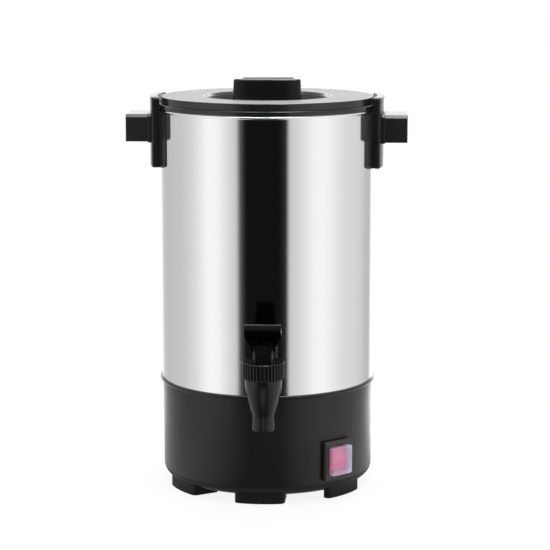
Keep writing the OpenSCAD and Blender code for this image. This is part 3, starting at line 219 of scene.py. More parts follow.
def tint(colour, factor):
    """A colour, made lighter or darker, with its alpha."""
    return tuple(min(1.0, c * factor) for c in colour) + (1.0,)


print("a brown at half strength:", tint((0.4, 0.2, 0.1), 0.5))

# %% [markdown]
# ## Mesh helpers
# Nearly everything here is turned, moulded or bent, so three ways to make a mesh are enough. A
# closed outline turned about an axis gives the tank, lid, base and tap. A skin through rings
# of points gives the knob and the ribbed bonnet. A flat plate, softened first and then rolled
# round the tank, gives the brackets and their pads. Lengths are written in millimetres.


# %% Outlines
def rounded(corners, steps=5):
    """A closed outline of corners (x, y, radius), with an arc in place of each sharp one."""
    outline = []
    for i, (x, y, radius) in enumerate(corners):
        here = Vector((x, y))
        before = Vector(corners[i - 1][:2]) - here
        after = Vector(corners[(i + 1) % len(corners)][:2]) - here
        if radius == 0 or min(before.length, after.length) == 0:
            outline.append((x, y))
            continue
        half = before.angle(after) / 2
        room = 0.49 * min(before.length, after.length)
        reach = min(radius / math.tan(half), room)
        bend = reach * math.tan(half)
        inwards = (before.normalized() + after.normalized()).normalized()
        centre = here + inwards * bend / math.sin(half)
        spoke = here + before.normalized() * reach - centre
        sweep = spoke.angle_signed(here + after.normalized() * reach - centre)
        for k in range(steps + 1):
            arm = Matrix.Rotation(-sweep * k / steps, 2) @ spoke
            outline.append((centre.x + arm.x, centre.y + arm.y))
    return outline


def box_outline(width, height, radius, steps=5, x=0, y=0):
    """A rectangle about (x, y) with round corners."""
    w, h = width / 2, height / 2
    return rounded([(x - w, y - h, radius), (x + w, y - h, radius), (x + w, y + h, radius),
                    (x - w, y + h, radius)], steps)


print("round corner:", len(box_outline(2, 1, 0.2)), "points")


# %% Meshes
def made(name, points, faces, sharp=32):
    """A tidy mesh object from points in millimetres."""
    mesh = bpy.data.meshes.new(name)
    mesh.from_pydata([tuple(c * MM for c in p) for p in points], [], faces)
    thing = bpy.data.objects.new(name, mesh)
    bpy.context.scene.collection.objects.link(thing)
    return cleaned(thing, sharp)


def cleaned(thing, sharp=32):
    """Merges what lies together, turns faces outwards and shades all but sharp edges smooth."""
    work = bmesh.new()
    work.from_mesh(thing.data)
    bmesh.ops.remove_doubles(work, verts=work.verts, dist=1e-6)
    bmesh.ops.dissolve_degenerate(work, edges=work.edges, dist=1e-7)
    bmesh.ops.recalc_face_normals(work, faces=work.faces)
    work.to_mesh(thing.data)
    work.free()
    thing.data.polygons.foreach_set("use_smooth", [True] * len(thing.data.polygons))
    thing.data.set_sharp_from_angle(angle=math.radians(sharp))
    return thing


def lathe(name, outline, turns, at=(0, 0, 0), along="z", sharp=32):
    """A closed outline of (radius, height) turned about an axis."""
    points, faces, n = [], [], len(outline)
    for k in range(turns):
        c, s = math.cos(2 * math.pi * k / turns), math.sin(2 * math.pi * k / turns)
        for r, h in outline:
            p = {"z": (r * c, r * s, h), "y": (r * c, h, r * s), "x": (h, r * c, r * s)}[along]
            points.append([a + b for a, b in zip(at, p)])
        for i in range(n):
            j, after = (i + 1) % n, (k + 1) % turns
            faces.append((k * n + i, after * n + i, after * n + j, k * n + j))
    return made(name, points, faces, sharp)


def loft(name, rings, sharp=32):
    """A closed skin through rings that have as many points each."""
    n, faces = len(rings[0]), []
    for k in range(len(rings) - 1):
        faces += [(k * n + i, k * n + (i + 1) % n, (k + 1) * n + (i + 1) % n, (k + 1) * n + i)
                  for i in range(n)]
    faces += [tuple(range(n)), tuple(range((len(rings) - 1) * n, len(rings) * n))]
    return made(name, [p for ring in rings for p in ring], faces, sharp)


def slab(name, outline, low, high, along="z"):
    """An outline drawn out from low to high along z, or along x with its own axes on y and z."""
    return loft(name, [[(x, y, t) if along == "z" else (t, x, y) for x, y in outline]
                       for t in (low, high)])


print("meshes are turned, skinned through rings or drawn out")


# %% Soft edges, cuts and joins
def changed(thing, kind, **settings):
    """Adds a modifier, and writes its result into the mesh."""
    modifier = thing.modifiers.new(kind.lower(), kind)
    for key, value in settings.items():
        setattr(modifier, key, value)
    result = bpy.data.meshes.new_from_object(
        thing.evaluated_get(bpy.context.evaluated_depsgraph_get()))
    thing.modifiers.clear()
    old, thing.data = thing.data, result
    bpy.data.meshes.remove(old)
    return thing


def softened(thing, width, segments, angle=30, sharp=32):
    """Rounds the edges that turn by more than an angle."""
    changed(thing, "BEVEL", width=width * MM, segments=segments, limit_method="ANGLE",
            angle_limit=math.radians(angle), use_clamp_overlap=True)
    return cleaned(thing, sharp)


def combined(thing, other, operation="DIFFERENCE"):
    """Cuts one solid with another, or joins them. The other one is used up."""
    changed(thing, "BOOLEAN", operation=operation, object=other, solver="EXACT")
    bpy.data.objects.remove(other)
    return cleaned(thing)


def merged(thing, *others):
    """Puts the shells of several objects into one object, without cutting them."""
    work = bmesh.new()
    for each in (thing, *others):
        work.from_mesh(each.data)
    work.to_mesh(thing.data)
    work.free()
    for each in others:
        bpy.data.objects.remove(each)
    return cleaned(thing)


print("solids can be softened, cut and joined")


# %% Moving and bending
def moved(thing, y=0, z=0, turn=0):
    """Shifts a mesh in millimetres, then turns it about the urn's axis by degrees."""
    thing.data.transform(Matrix.Rotation(math.radians(turn), 4, "Z")
                         @ Matrix.Translation((0, y * MM, z * MM)))
    return thing


def rolled(thing, radius):
    """Rolls a plate that lies across x and z round the urn's axis, with its y outwards."""
    for vertex in thing.data.vertices:
        x, y, z = vertex.co
        angle, reach = x / (radius * MM), radius * MM + y
        vertex.co = (reach * math.cos(angle), reach * math.sin(angle), z)
    return cleaned(thing)


def sliced(thing, axis, places):
    """Cuts a mesh across an axis (0 for x, 2 for z) at places in millimetres, so it can bend."""
    work = bmesh.new()
    work.from_mesh(thing.data)
    for place in places:
        spot, across = [0, 0, 0], [0, 0, 0]
        spot[axis], across[axis] = place * MM, 1
        bmesh.ops.bisect_plane(work, geom=work.verts[:] + work.edges[:] + work.faces[:],
                               plane_co=spot, plane_no=across)
    work.to_mesh(thing.data)
    work.free()
    return thing


print("plates can be cut across and rolled")


# %% Placing
def placed(thing, finish, body, slot, *nodes):
    """Gives a piece its finish, its body and the nodes that it stands for. Its slot is not used."""
    changed(thing, "WEIGHTED_NORMAL", keep_sharp=True, weight=80)
    thing.data.materials.clear()
    thing.data.materials.append(finish.material)
    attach(thing, body)
    if nodes:
        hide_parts(*nodes)
    print(thing.name, len(thing.data.polygons), "faces")
    return thing


print(len({row["material_slot"] for row in NODE_ROWS}), "slots ask for a finish")

# %% [markdown]
# ## The studio
# A polished tank has no look of its own: it shows the room. White walls would leave it blank, so
# a studio wraps it in a paper tent with a black card in front and grey ones beside it. Their
# reflections draw the dark stripe down the middle and the shading of the sides. The tent here
# is a bent sheet that only reflections see, and its paper glows by direction: 0 is the front
# and 90 is the right side. It stays open at the back, where light comes in over the lid. Flat
# cards overhead light the top edges, and small ones give the spout and the right edge a glint.


# %% Sheets of the stage
def stage_sheet(name, points, faces, finish, shown=("glossy",)):
    """A sheet that isn't part of the urn and that only the named kinds of ray see."""
    sheet = made(name, points, faces)
    sheet.data.materials.append(finish.material)
    for ray in ("camera", "diffuse", "glossy", "transmission", "shadow", "volume_scatter"):
        setattr(sheet, "visible_" + ray, ray in shown)
    return sheet


def glowing(name, stops, strength=1.0):
    """Paper whose glow follows the direction, from the mesh's own x and y."""
    paper = Finish(name)
    across, along, _ = paper.split(paper.place)
    share = across.join("ARCTAN2", across, along * -1) * (0.5 / math.pi) + 0.5
    ramp = paper.node("ValToRGB", {"stops": [
        ((turn + 180) / 360, (glow / strength,) * 3 + (1,)) for turn, glow in stops]}, Fac=share)
    return paper.lit(ramp * strength)


def curtain(name, first, last, top, steps, paper):
    """An upright sheet at the tent's radius, between two angles from the x axis."""
    turns = [math.radians(first + (last - first) * k / steps) for k in range(steps + 1)]
    stage_sheet(name, [(TENT_R * math.cos(a), TENT_R * math.sin(a), z)
                       for a in turns for z in (TENT_FOOT, top)],
                [(2 * k, 2 * k + 2, 2 * k + 3, 2 * k + 1) for k in range(steps)], paper)


def level_disc(radius, z, count):
    """The points round a level disc, and its one face."""
    turns = [2 * math.pi * k / count for k in range(count)]
    return [(radius * math.cos(a), radius * math.sin(a), z) for a in turns], [tuple(range(count))]


print("sheets that only reflections see")

# %% Tent
WALL_GLOW = [  # direction in degrees, and glow
    (-150, 1.0), (-137, 0.6), (-124, 0.56), (-92, 0.61), (-75, 0.75), (-58, 1.01), (-47, 0.98),
    (-30, 0.65), (-27.6, 0.6), (-25.0, 0.10), (-19.5, 0.006), (13.5, 0.006), (19.8, 0.03),
    (21.9, 0.62), (31, 0.72), (47, 0.97), (58, 1.0), (83, 0.76), (102, 0.71), (114, 0.64),
    (122, 0.54), (133, 0.54), (150, 1.8)]
FLOOR_GLOW = [
    (-160, 3.1), (-146, 1.9), (-131, 1.05), (-113, 0.8), (-86, 0.74), (-64, 0.9), (-44, 0.66),
    (-26, 0.3), (-18, 0.07), (14, 0.07), (27, 0.5), (45, 0.8), (60, 1.0), (90, 0.9), (115, 1.0),
    (133, 1.8), (146, 3.0), (160, 3.1)]
TENT_R, TENT_FOOT, TENT_TOP, STEPS = 440, 0.3, 436, 152
HOLE_R = 112
curtain("tent_wall", -240, 60, TENT_TOP, STEPS, glowing("wall_paper", WALL_GLOW))
turns = [2 * math.pi * k / STEPS for k in range(STEPS)]
stage_sheet("tent_floor", [(r * math.cos(a), r * math.sin(a), TENT_FOOT)
                           for a in turns for r in (HOLE_R, TENT_R)],
            [(2 * k, (2 * k + 2) % (2 * STEPS), (2 * k + 3) % (2 * STEPS), 2 * k + 1)
             for k in range(STEPS)], glowing("floor_paper", FLOOR_GLOW, 4.0))
print("tent of", STEPS, "strips")

# %% Cards
SPOUT_CARD = ((-17, 50), (17, 50), (17, 94), (-17, 94))
ROOFS = (  # name, from x, to x, height and glow
    ("roof", -700, 700, 1400, 3.6), ("roof_left", -420, -70, 1390, 9.5),
    ("roof_right", 70, 420, 1390, 20.0))
stage_sheet("spout_card", [(x, -190, z) for x, z in SPOUT_CARD], [(0, 1, 2, 3)],
            Finish("spout_card").lit(0.6))
for name, low, high, z, glow in ROOFS:
    plan = ((low, -900), (high, -900), (high, 300), (low, 300))
    stage_sheet(name, [(x, y, z) for x, y in plan], [(0, 1, 2, 3)],
                Finish(name + "_card").lit(glow))
curtain("side_card", 60, 82, 325, 12, Finish("side_card").lit(4.0))
# A grey disc under the urn is a painted shadow: reflections see it in place of the urn's own shadow
# on the floor.
stage_sheet("under", *level_disc(HOLE_R, 0.2, 48), Finish("under_card").lit(0.3))
print(len(ROOFS), "cards overhead, and one each for the spout, the right side and underneath")

# %% [markdown]
# ## Floor, room and lamps
# The floor and the room are plain white to the eye and to reflections. Only the floor near the
# urn is lit by the lamps, so that its shadow shows there. One wide lamp above and two at the
# sides light the black parts evenly. Two at the back skim the lid, so that its black top turns
# pale, as any black surface does that is seen almost edge on.


# %% Floor and room
def seen_directly(tree):
    """1 where the eye, a reflection or a view through something looks, and 0 for soft light."""
    ray = tree.nodes.new("ShaderNodeLightPath")
    kinds = [Signal(tree, ray.outputs["Is " + kind + " Ray"])
             for kind in ("Camera", "Glossy", "Transmission")]
    return kinds[0] + kinds[1] + kinds[2] > 0.5


FLOOR_R, FLOOR_Z = 40000, -0.05
floor = Finish("floor_white", Base_Color=(0.95, 0.95, 0.95, 1), Roughness=0.9)
distance = floor.node("VectorMath", {"operation": "LENGTH"}, pick=1, Vector=floor.place)
near = floor.node("MapRange", Value=distance, From_Min=0.1, From_Max=0.35, To_Min=0.88, To_Max=1.0)
shadowed = floor.shader
floor.lit(1.0)
mix = floor.tree.nodes.new("ShaderNodeMixShader")
plug(floor.tree, seen_directly(floor.tree) * near, mix.inputs[0])
floor.tree.links.new(shadowed.outputs[0], mix.inputs[1])
floor.tree.links.new(floor.shader.outputs[0], mix.inputs[2])
floor.tree.links.new(mix.outputs[0], floor.tree.nodes["Material Output"].inputs["Surface"])
stage_sheet("ground", *level_disc(FLOOR_R, FLOOR_Z, 64), floor,
            ("camera", "diffuse", "glossy", "transmission", "shadow", "volume_scatter"))

world = bpy.data.worlds.new("white_room")
bpy.context.scene.world = world
world.use_nodes = True
sky = world.node_tree
sky.nodes.clear()
air = sky.nodes.new("ShaderNodeBackground")
air.inputs["Color"].default_value = (1, 1, 1, 1)
plug(sky, seen_directly(sky) * 0.42 + 0.58, air.inputs["Strength"])
sky.links.new(air.outputs[0], sky.nodes.new("ShaderNodeOutputWorld").inputs["Surface"])
print("floor", FLOOR_R * MM, "metres to its edge")


# %% Lamps
def lamp(name, at, size, power, glints=False):
    """A soft box that faces the middle of the urn, and shows in reflections only if told to."""
    box = bpy.data.objects.new(name, bpy.data.lights.new(name, "AREA"))
    box.data.shape = "RECTANGLE"
    box.data.size, box.data.size_y = size
    box.data.energy = power
    box.location = at
    box.rotation_euler = (AIM - Vector(at)).to_track_quat("-Z", "Y").to_euler()
    box.visible_camera = False
    box.visible_glossy = glints
    bpy.context.scene.collection.objects.link(box)


# Each line gives the place and the size in metres, and the power in watts.
lamp("box_left", (-1.5, -0.55, 0.5), (0.9, 1.3), 8)
lamp("box_right", (1.5, -0.65, 0.5), (0.8, 1.3), 8)
lamp("box_top", (0.1, -0.2, 2.2), (1.6, 1.6), 22)
lamp("box_back", (0, 2.4, 0.62), (2.6, 0.76), 6.6, True)
lamp("box_back_high", (0, 2.0, 1.5), (2.6, 1.0), 30, True)
print("studio ready")

# %% [markdown]
# ## Finishes
# Two recipes cover nearly every part. Moulded plastic has a colour that drifts a little, a
# sheen that is worn unevenly, and the fine grain of its mould. Metal has marks drawn out along
# the way it was rolled, spun or drawn. Real sizes matter: a grain is a tenth of a millimetre.


# %% Finish recipes
def moulded(name, colour, rough, grain, depth, **sockets):
    """Plastic or rubber, with grain of a depth in millimetres."""
    finish = Finish(name, **sockets)
    drift = finish.noise(28, 3)
    skin = finish.noise(grain, 2) + finish.noise(grain / 6, 2) * 0.5
    finish.set(Base_Color=finish.blend(drift, tint(colour, 0.8), tint(colour, 1.2)),
               Roughness=rough - 0.06 + drift * 0.12)
    finish.relief(skin, depth * MM)
    return finish


def metal(name, colour, rough, across, depth=0.01, stain=0.12):
    """Metal whose marks are finest along the axes with the largest numbers."""
    finish = Finish(name, Metallic=1.0)
    marks = finish.noise(1, 4, finish.stretched(*across))
    drift = finish.noise(35, 3)
    finish.set(Base_Color=finish.blend(drift, tint(colour, 1 - stain), tint(colour, 1 + stain)),
               Roughness=rough - 0.08 + drift * 0.08 + marks * 0.08)
    finish.relief(marks, depth * MM)
    return finish


print("two recipes ready")


# %% [markdown]
# ## Brushed steel
# The tank's sheet was brushed round its girth. A shader can stretch its highlights with
# anisotropy, but that is lost in an exported model. Fine level scratches in the surface do the
# same: they tip the light up and down and hardly sideways, so the stripe keeps its edges.


# %% Tank steel
def brushed():
    finish = Finish("tank_steel", Metallic=1.0)
    fine = finish.noise(1, 3, finish.stretched(9, 9, 5200))
    coarse = finish.noise(1, 2, finish.stretched(5, 5, 900))
    drift = finish.noise(14, 2)
    finish.set(Base_Color=finish.blend(coarse, (0.905, 0.893, 0.899, 1), (0.94, 0.929, 0.934, 1)),
               Roughness=0.05 + fine * 0.03 + drift * 0.01)
    finish.relief(fine + coarse * 0.05, 0.012 * MM)
    return finish


TANK_STEEL = brushed()
print("steel ready")

# %% [markdown]
# ## Black plastics
# The black parts look alike at first, but each came from a mould with its own polish. The lid's
# level top is duller than its round edges. The lever is matt with a clear coat, and the coat is
# left off where a face looks back or down: painted shade, so that those faces stay as dark as a
# real shadow.

# %% Black plastics
BASE_PLASTIC = moulded("base_plastic", (0.008, 0.008, 0.0085), 0.28, 4200, 0.01,
                       Specular_IOR_Level=0.35)
COLLAR_PLASTIC = moulded("collar_plastic", (0.009, 0.009, 0.0095), 0.16, 5200, 0.005)
KNOB_PLASTIC = moulded("knob_plastic", (0.0085, 0.0085, 0.0085), 0.2, 5200, 0.006,
                       Specular_IOR_Level=0.25)
HANDLE_PLASTIC = moulded("handle_plastic", (0.0115, 0.0115, 0.012), 0.26, 4600, 0.008,
                         Specular_IOR_Level=0.28)
TAP_PLASTIC = moulded("tap_plastic", (0.006, 0.006, 0.0065), 0.2, 5200, 0.006,
                      Specular_IOR_Level=0.34)
BEZEL_PLASTIC = moulded("bezel_plastic", (0.018, 0.018, 0.018), 0.36, 4600, 0.015)
FOOT_PLASTIC = moulded("foot_plastic", (0.006, 0.006, 0.006), 0.4, 4200, 0.02,
                       Specular_IOR_Level=0.3)
INLET_PLASTIC = moulded("inlet_plastic", (0.014, 0.014, 0.014), 0.4, 4200, 0.02)

LID_PLASTIC = moulded("body_plastic", (0.012, 0.012, 0.013), 0.2, 5200, 0.006)
_, _, upwards = LID_PLASTIC.split(LID_PLASTIC.node("TexCoord", pick="Normal"))
level = LID_PLASTIC.between(upwards, 0.9, 0.98)
LID_PLASTIC.set(Roughness=0.16 + LID_PLASTIC.noise(28, 3) * 0.08 + level * 0.26)

LEVER_PLASTIC = moulded("lever_plastic", (0.0008, 0.0008, 0.0008), 0.4, 5200, 0.008,
                        Specular_IOR_Level=0.0, Coat_Roughness=0.1, Coat_IOR=1.65)
sideways, backwards, upwards = LEVER_PLASTIC.split(LEVER_PLASTIC.node("TexCoord", pick="Normal"))
# Painted shade: the coat is left off faces that look back or down, so that they stay dark as in
# shadow.
painted_shade_behind = LEVER_PLASTIC.between(backwards, 0.0, 0.3)
painted_shade_below = ((1 - LEVER_PLASTIC.between(sideways * sideways, 0.03, 0.12))
         * (1 - LEVER_PLASTIC.between(upwards, -0.12, 0.0)))
LEVER_PLASTIC.set(Coat_Weight=(1 - painted_shade_behind) * (1 - painted_shade_below))
print("black plastics ready")

# %% [markdown]
# ## The tank
# The real tank is a sheet rolled and welded, with a bead round its top and a neck that drops
# into the base. One outline, turned in many steps, gives a wall without flats, which a
# mirror finish would show at once.

# %% Tank
(_, _, WELL_FLOOR), (_, _, BRIM) = edges("tank")
SEAM = edges("base_shell")[1][2]
WALL, NECK, WELL, FLOOR, SHEET = 94.5, 91.35, 30, 88.8, 0.8
BEAD_R, BEAD_Z, BEAD_OUT, BEAD_UP = 93.95, 334.55, 1.3, 1.4
bead = [(BEAD_R + BEAD_OUT * math.cos(a), BEAD_Z + BEAD_UP * math.sin(a))
        for a in [math.radians(-66 + 132 * k / 16) for k in range(17)]]
tank = lathe("tank_wall", [
    (0, WELL_FLOOR),
    *rounded([(WELL, WELL_FLOOR, 1.5), (WELL, FLOOR, 0.6), (NECK, FLOOR, 1), (NECK, SEAM, 0)]),
    (WALL, SEAM), (WALL, 300), *bead, (WALL, BRIM), (WALL - SHEET, BRIM),
    (WALL - SHEET, SEAM + SHEET), (NECK - SHEET, SEAM + SHEET), (NECK - SHEET, FLOOR + SHEET),
    (WELL - SHEET, FLOOR + SHEET), (WELL - SHEET, WELL_FLOOR + SHEET),
    (0, WELL_FLOOR + SHEET)], 288)
placed(tank, TANK_STEEL, "urn", "tank_steel", "tank")

# %% [markdown]
# ## Rim collar and lid
# A black collar is pressed over the tank's edge, and the lid lies on it. Their round edges are
# what the eye finds first: each one catches a thin line of light. The lid's top runs down into
# a round dish that leaves room for fingers under the knob.

# %% Collar
(_, _, COLLAR_LOW), (COLLAR_R, _, COLLAR_TOP) = edges("rim_collar")
collar = lathe("rim_collar_ring", rounded([
    (91.5, COLLAR_LOW, 0.4), (93.5, COLLAR_LOW, 0.4), (93.5, BRIM + 0.2, 0.2),
    (94.7, BRIM + 0.2, 0.2), (94.7, BRIM - 3, 0.15), (COLLAR_R, BRIM - 3, 0.3),
    (COLLAR_R, COLLAR_TOP, 0.45), (91.5, COLLAR_TOP, 0.5)], 6), 256)
placed(collar, COLLAR_PLASTIC, "urn", "body_plastic", "rim_collar")

# %% Lid
(_, _, LID_LOW), (LID_R, _, LID_HIGH) = edges("lid")
LID_TOP, LID_SEAT, DISH = LID_HIGH + 0.1, COLLAR_TOP + 0.02, edges("lid_knob")[0][2]
UNDER_DISH, UNDER_TOP = 335.2, 344.2
lid = lathe("lid_shell", [(0, UNDER_DISH), *rounded([
    (55.6, UNDER_DISH, 1), (57.4, UNDER_TOP, 1), (88.9, UNDER_TOP, 1), (88.9, LID_LOW, 0.4),
    (91.1, LID_LOW, 0.4), (91.1, UNDER_TOP, 0.6), (91.6, UNDER_TOP, 0.3), (91.6, LID_SEAT, 0.3),
    (LID_R, LID_SEAT, 0.3), (LID_R, LID_TOP, 0.5), (56.6, LID_TOP, 1.2), (54.2, 343.8, 2.0),
    (52.4, DISH, 3.4)], 8), (0, DISH)], 256)
for x in (-16, 0, 16):
    combined(lid, slab("cutter", box_outline(12, 2.4, 1.15, 4, x, 33), 330, 340))
placed(lid, LID_PLASTIC, "lid", "body_plastic", "lid")

# %% [markdown]
# ## The knob
# The knob is a block with bowed front and back, a little narrower at the top, and a sunken
# panel there. All its outlines share one recipe for their points, so a skin can run from the
# foot over the edge and down into the panel without a seam.


# %% Knob
def knob_plan(width, depth, corner, bow, height, arc=7, side=6):
    """A rectangle whose front and back bow out, with round corners, at a height."""
    half, lean = width / 2, 0.0
    for _ in range(6):  # where the corner ends depends on the bow's slope there, and the reverse
        reach = half - corner + corner * math.sin(lean)
        lean = math.atan(2 * bow * reach / half ** 2)
    rise = depth / 2 - bow * (reach / half) ** 2
    centre = (half - corner, rise - corner * math.cos(lean))
    quarter = []
    for k in range(arc + 1):
        a = (math.pi / 2 - lean) * k / arc
        quarter.append((centre[0] + corner * math.cos(a), centre[1] + corner * math.sin(a)))
    for k in range(1, side):
        x = reach * (1 - k / side)
        quarter.append((x, depth / 2 - bow * (x / half) ** 2))
    points = quarter + [(0, depth / 2)] + [(-x, y) for x, y in reversed(quarter)]
    points += [(-x, -y) for x, y in quarter] + [(0, -depth / 2)]
    points += [(x, -y) for x, y in reversed(quarter)]
    return [(x, y, height) for x, y in points]


KNOB_TOP, BOW, EDGE = edges("lid_knob")[1][2], 4, 1.5
PANEL_WIDE, PANEL_DEEP, PANEL_X, PANEL_Y = 45, 16, 0.8, -3.8
rings = [knob_plan(59, 37, 4, BOW, DISH), knob_plan(61, 39, 5, BOW, DISH + 0.4),
         knob_plan(58.6, 36.2, 4, BOW, KNOB_TOP - 1.6)]
for k in range(1, 7):
    a = math.radians(15 * k)
    inset = EDGE * (1 - math.cos(a))
    rings.append(knob_plan(58.5 - 2 * inset, 36.1 - 2 * inset, 4 - inset / 2, BOW,
                           KNOB_TOP - EDGE + EDGE * math.sin(a)))
for inset, drop in ((0, 0), (0.06, 0.06), (0.1, 1.3), (0.12, 1.4), (0.4, 1.4)):
    panel = knob_plan(PANEL_WIDE - 2 * inset, PANEL_DEEP - 2 * inset, 2.4, 0.6, KNOB_TOP - drop)
    rings.append([(x + PANEL_X, y + PANEL_Y, z) for x, y, z in panel])
knob = loft("knob_block", rings, 30)
placed(knob, KNOB_PLASTIC, "lid", "knob_plastic", "lid_knob")

# %% [markdown]
# ## Handles
# Each handle is one moulding: a pad that lies on the tank, a bracket that stands over it and
# hooks beside the lid, and a square grip. The pad and bracket are bent round the tank. It is
# easier to round the edges of a flat plate and then roll it than to round a bent one.


# %% Bracket, pad and grip
(_, _, handle_low), (_, _, HANDLE_TOP) = edges("handle_right")
HANDLE_LOW, HANDLE_STEP = handle_low - 1, 333.8
PAD_IN, PAD_OUT, NOTCH_R, BRACKET_OUT, GRIP_OUT = WALL - 0.1, 96.9, 96.8, 103.2, 123.2
GRIP_IN, GRIP_Z, GRIP_EDGE = 100, 319.2, 0.7
HANDLE_TURN = -1.8


def plate(name, half_turn, top, outer, corner, edge, taper=0):
    """A plate with round corners and a soft edge, rolled round the tank. Its ends can slant."""
    half = math.radians(half_turn) * WALL
    outline = box_outline(2 * half, top - HANDLE_LOW, corner, 6, 0, (top + HANDLE_LOW) / 2)
    flat = loft(name, [[(x * (1 - slant / half), t - WALL, z) for x, z in outline]
                       for t, slant in ((PAD_IN, 0), (outer, taper))])
    softened(flat, edge, 4, 50 if taper == 0 else 20)
    count = round(2 * half / 2.5)
    return rolled(sliced(flat, 0, [-half + 2 * half * k / count for k in range(1, count)]), WALL)


def grip_block(name, high, width, height, slope):
    """A square block whose upper edges slope off by a width before they are softened."""
    w, low, top = width / 2, GRIP_Z - height / 2, GRIP_Z + height / 2
    outline = [(-w, low), (w, low), (w, top - slope), (w - 0.8 * slope, top),
               (0.8 * slope - w, top), (-w, top - slope)]
    return softened(slab(name, outline, GRIP_IN, high, "x"), GRIP_EDGE, 3)


def handle(name, turn):
    """A bracket with a notch for the lid, its pad, the step at the grip's root and the grip."""
    bracket = plate(name, 16.6, HANDLE_TOP, BRACKET_OUT, 2.0, 1.6)
    notch = [(80, HANDLE_STEP), (NOTCH_R, HANDLE_STEP), (NOTCH_R, HANDLE_TOP + 5),
             (80, HANDLE_TOP + 5)]
    combined(bracket, lathe("cutter", notch, 128))
    pad = plate("pad", 24.4, HANDLE_STEP, PAD_OUT, 9, 0.5, 12.4)
    root = grip_block("root", BRACKET_OUT + 0.7, 44.6, 25.6, 2.6)
    grip = grip_block("grip", GRIP_OUT, 43, 24, 2.8)
    return moved(merged(bracket, pad, root, grip), turn=turn)


placed(handle("handle_right_moulding", HANDLE_TURN), HANDLE_PLASTIC, "urn", "handle_plastic",
       "handle_right")
placed(handle("handle_left_moulding", HANDLE_TURN + 180), HANDLE_PLASTIC, "urn", "handle_plastic",
       "handle_left")

# %% [markdown]
# ## The tap
# The tap's body is turned: a spout that widens in one smooth wave to the barrel. The bonnet
# that screws onto it has ribs for the fingers, made by moving the points of each ring in and
# out. The lever is the one odd shape. It starts as its side view, drawn out sideways, is cut
# into level slices, and each slice is then made as wide as the front view says.

# %% Tap body
(_, _, TIP), (_, _, THREAD_TOP) = edges("tap_body")
SHOULDER, WAIST = edges("tap_bonnet")[0][2], 87.7
TAP_Y, TAP_Z = middle("tap_bonnet")[1], 111.2
flow = [(9.3 + 6.3 * math.sin(math.pi / 2 * k / 24), WAIST + (SHOULDER - WAIST) * k / 24)
        for k in range(25)]
body = lathe("tap_barrel", [
    (5.5, 97.7), *rounded([(5.5, TIP, 0.5), (9.7, TIP, 1.6), (9.7, 80.5, 0)], 6),
    *flow, (14, SHOULDER), (14, THREAD_TOP), (11.5, THREAD_TOP), (11.5, 103.2), (8.8, 103.2),
    (8.8, 97.7)], 128, (0, TAP_Y, 0), sharp=40)
shank = lathe("shank", rounded([
    (4, 3, 0), (7.2, 3, 0), (7.2, 16, 2), (6, 18, 2), (6, 28.9, 0.6), (11, 28.9, 0.5),
    (11, 31.4, 0.4), (6, 31.4, 0), (6, 45.0, 0.5), (4, 45.0, 0)], 4), 96, (0, TAP_Y, TAP_Z), "y")
placed(merged(body, shank), TAP_PLASTIC, "urn", "tap_plastic", "tap_body")


# %% Bonnet
RIBS = 36
RIB_WAVE = [0, 0, 0, 0.1, 0.9, 1, 1, 1, 0.9, 0.1]


def ribbed(radius, depth, height):
    """A ring with round ribs, at a height."""
    count, points = RIBS * len(RIB_WAVE), []
    for k in range(count):
        a, r = 2 * math.pi * k / count, radius - depth * (1 - RIB_WAVE[k % len(RIB_WAVE)])
        points.append((r * math.sin(a), TAP_Y + r * math.cos(a), height))
    return points


CAP = 134.4
steps = [  # radius, depth of the ribs, and height over the shoulder
    (15.7, 0, 0), (16.9, 0, 0), (17.3, 0.9, 0.3), (17.6, 1.5, 0.9), (17.6, 1.5, 12.9),
    (17.4, 1.0, 13.2), (17.45, 0, 13.4), (17.75, 0, 13.6), (17.75, 0, 13.9), (17.5, 0, 14.15),
    (17.1, 0, 14.2), (7.2, 0, 14.2), (7.0, 0, 15.0)]
bonnet = loft("bonnet_cap", [ribbed(r, depth, SHOULDER + h) for r, depth, h in steps], 36)
SOCKET_R, SOCKET_TOP = 14.05, THREAD_TOP + 0.2
combined(bonnet, lathe("cutter", [(0, 110), (SOCKET_R, 110), (SOCKET_R, SOCKET_TOP),
                                  (0, SOCKET_TOP)], 96, (0, TAP_Y, 0)))
neck = softened(slab("neck", box_outline(15.4, 15, 1.5, 5, 0, TAP_Y - 1.6), CAP - 1, CAP + 9.6),
                0.5, 3, 50)
lugs = softened(slab("lugs", rounded([
    (TAP_Y - 8.7, 142, 0), (TAP_Y - 3.3, 142, 0), (TAP_Y - 3.3, 150.2, 2.65),
    (TAP_Y - 8.7, 150.2, 2.65)], 8), -7.7, 7.7, "x"), 0.4, 3, 50)
placed(merged(bonnet, neck, lugs), TAP_PLASTIC, "urn", "tap_plastic", "tap_bonnet")


# %% Lever
PIN_Z = middle("lever_pin")[2]
side_view = rounded([
    (-9.5, -2.5, 0.6), (4.4, -2.5, 1.2), (5.6, 5.2, 1.2), (4.6, 6.4, 0.8), (-17.2, 20.4, 3),
    (-19.2, 22.1, 0.4), (-21.8, 16.8, 0.6), (-21.6, 14.8, 0.5), (-16.9, 13.9, 4),
    (-11.6, 9.6, 5), (-10.5, 2, 3), (-10.5, -2.2, 0.6)], 4)
WIDTHS = [  # height over the pin, and half the width there
    (-3, 10.2), (1.0, 10.2), (2.5, 10.7), (4.0, 11.6), (5.5, 12.6), (7.0, 13.7), (8.6, 14.8),
    (10.2, 15.4), (12, 15.3), (15, 15.3), (16, 15.1), (30, 15.1)]


def half_width(z):
    """Half the lever's width at a height over its pin."""
    for (z0, w0), (z1, w1) in zip(WIDTHS, WIDTHS[1:]):
        if z <= z1:
            return w0 + (w1 - w0) * (z - z0) / (z1 - z0)
    return WIDTHS[-1][1]


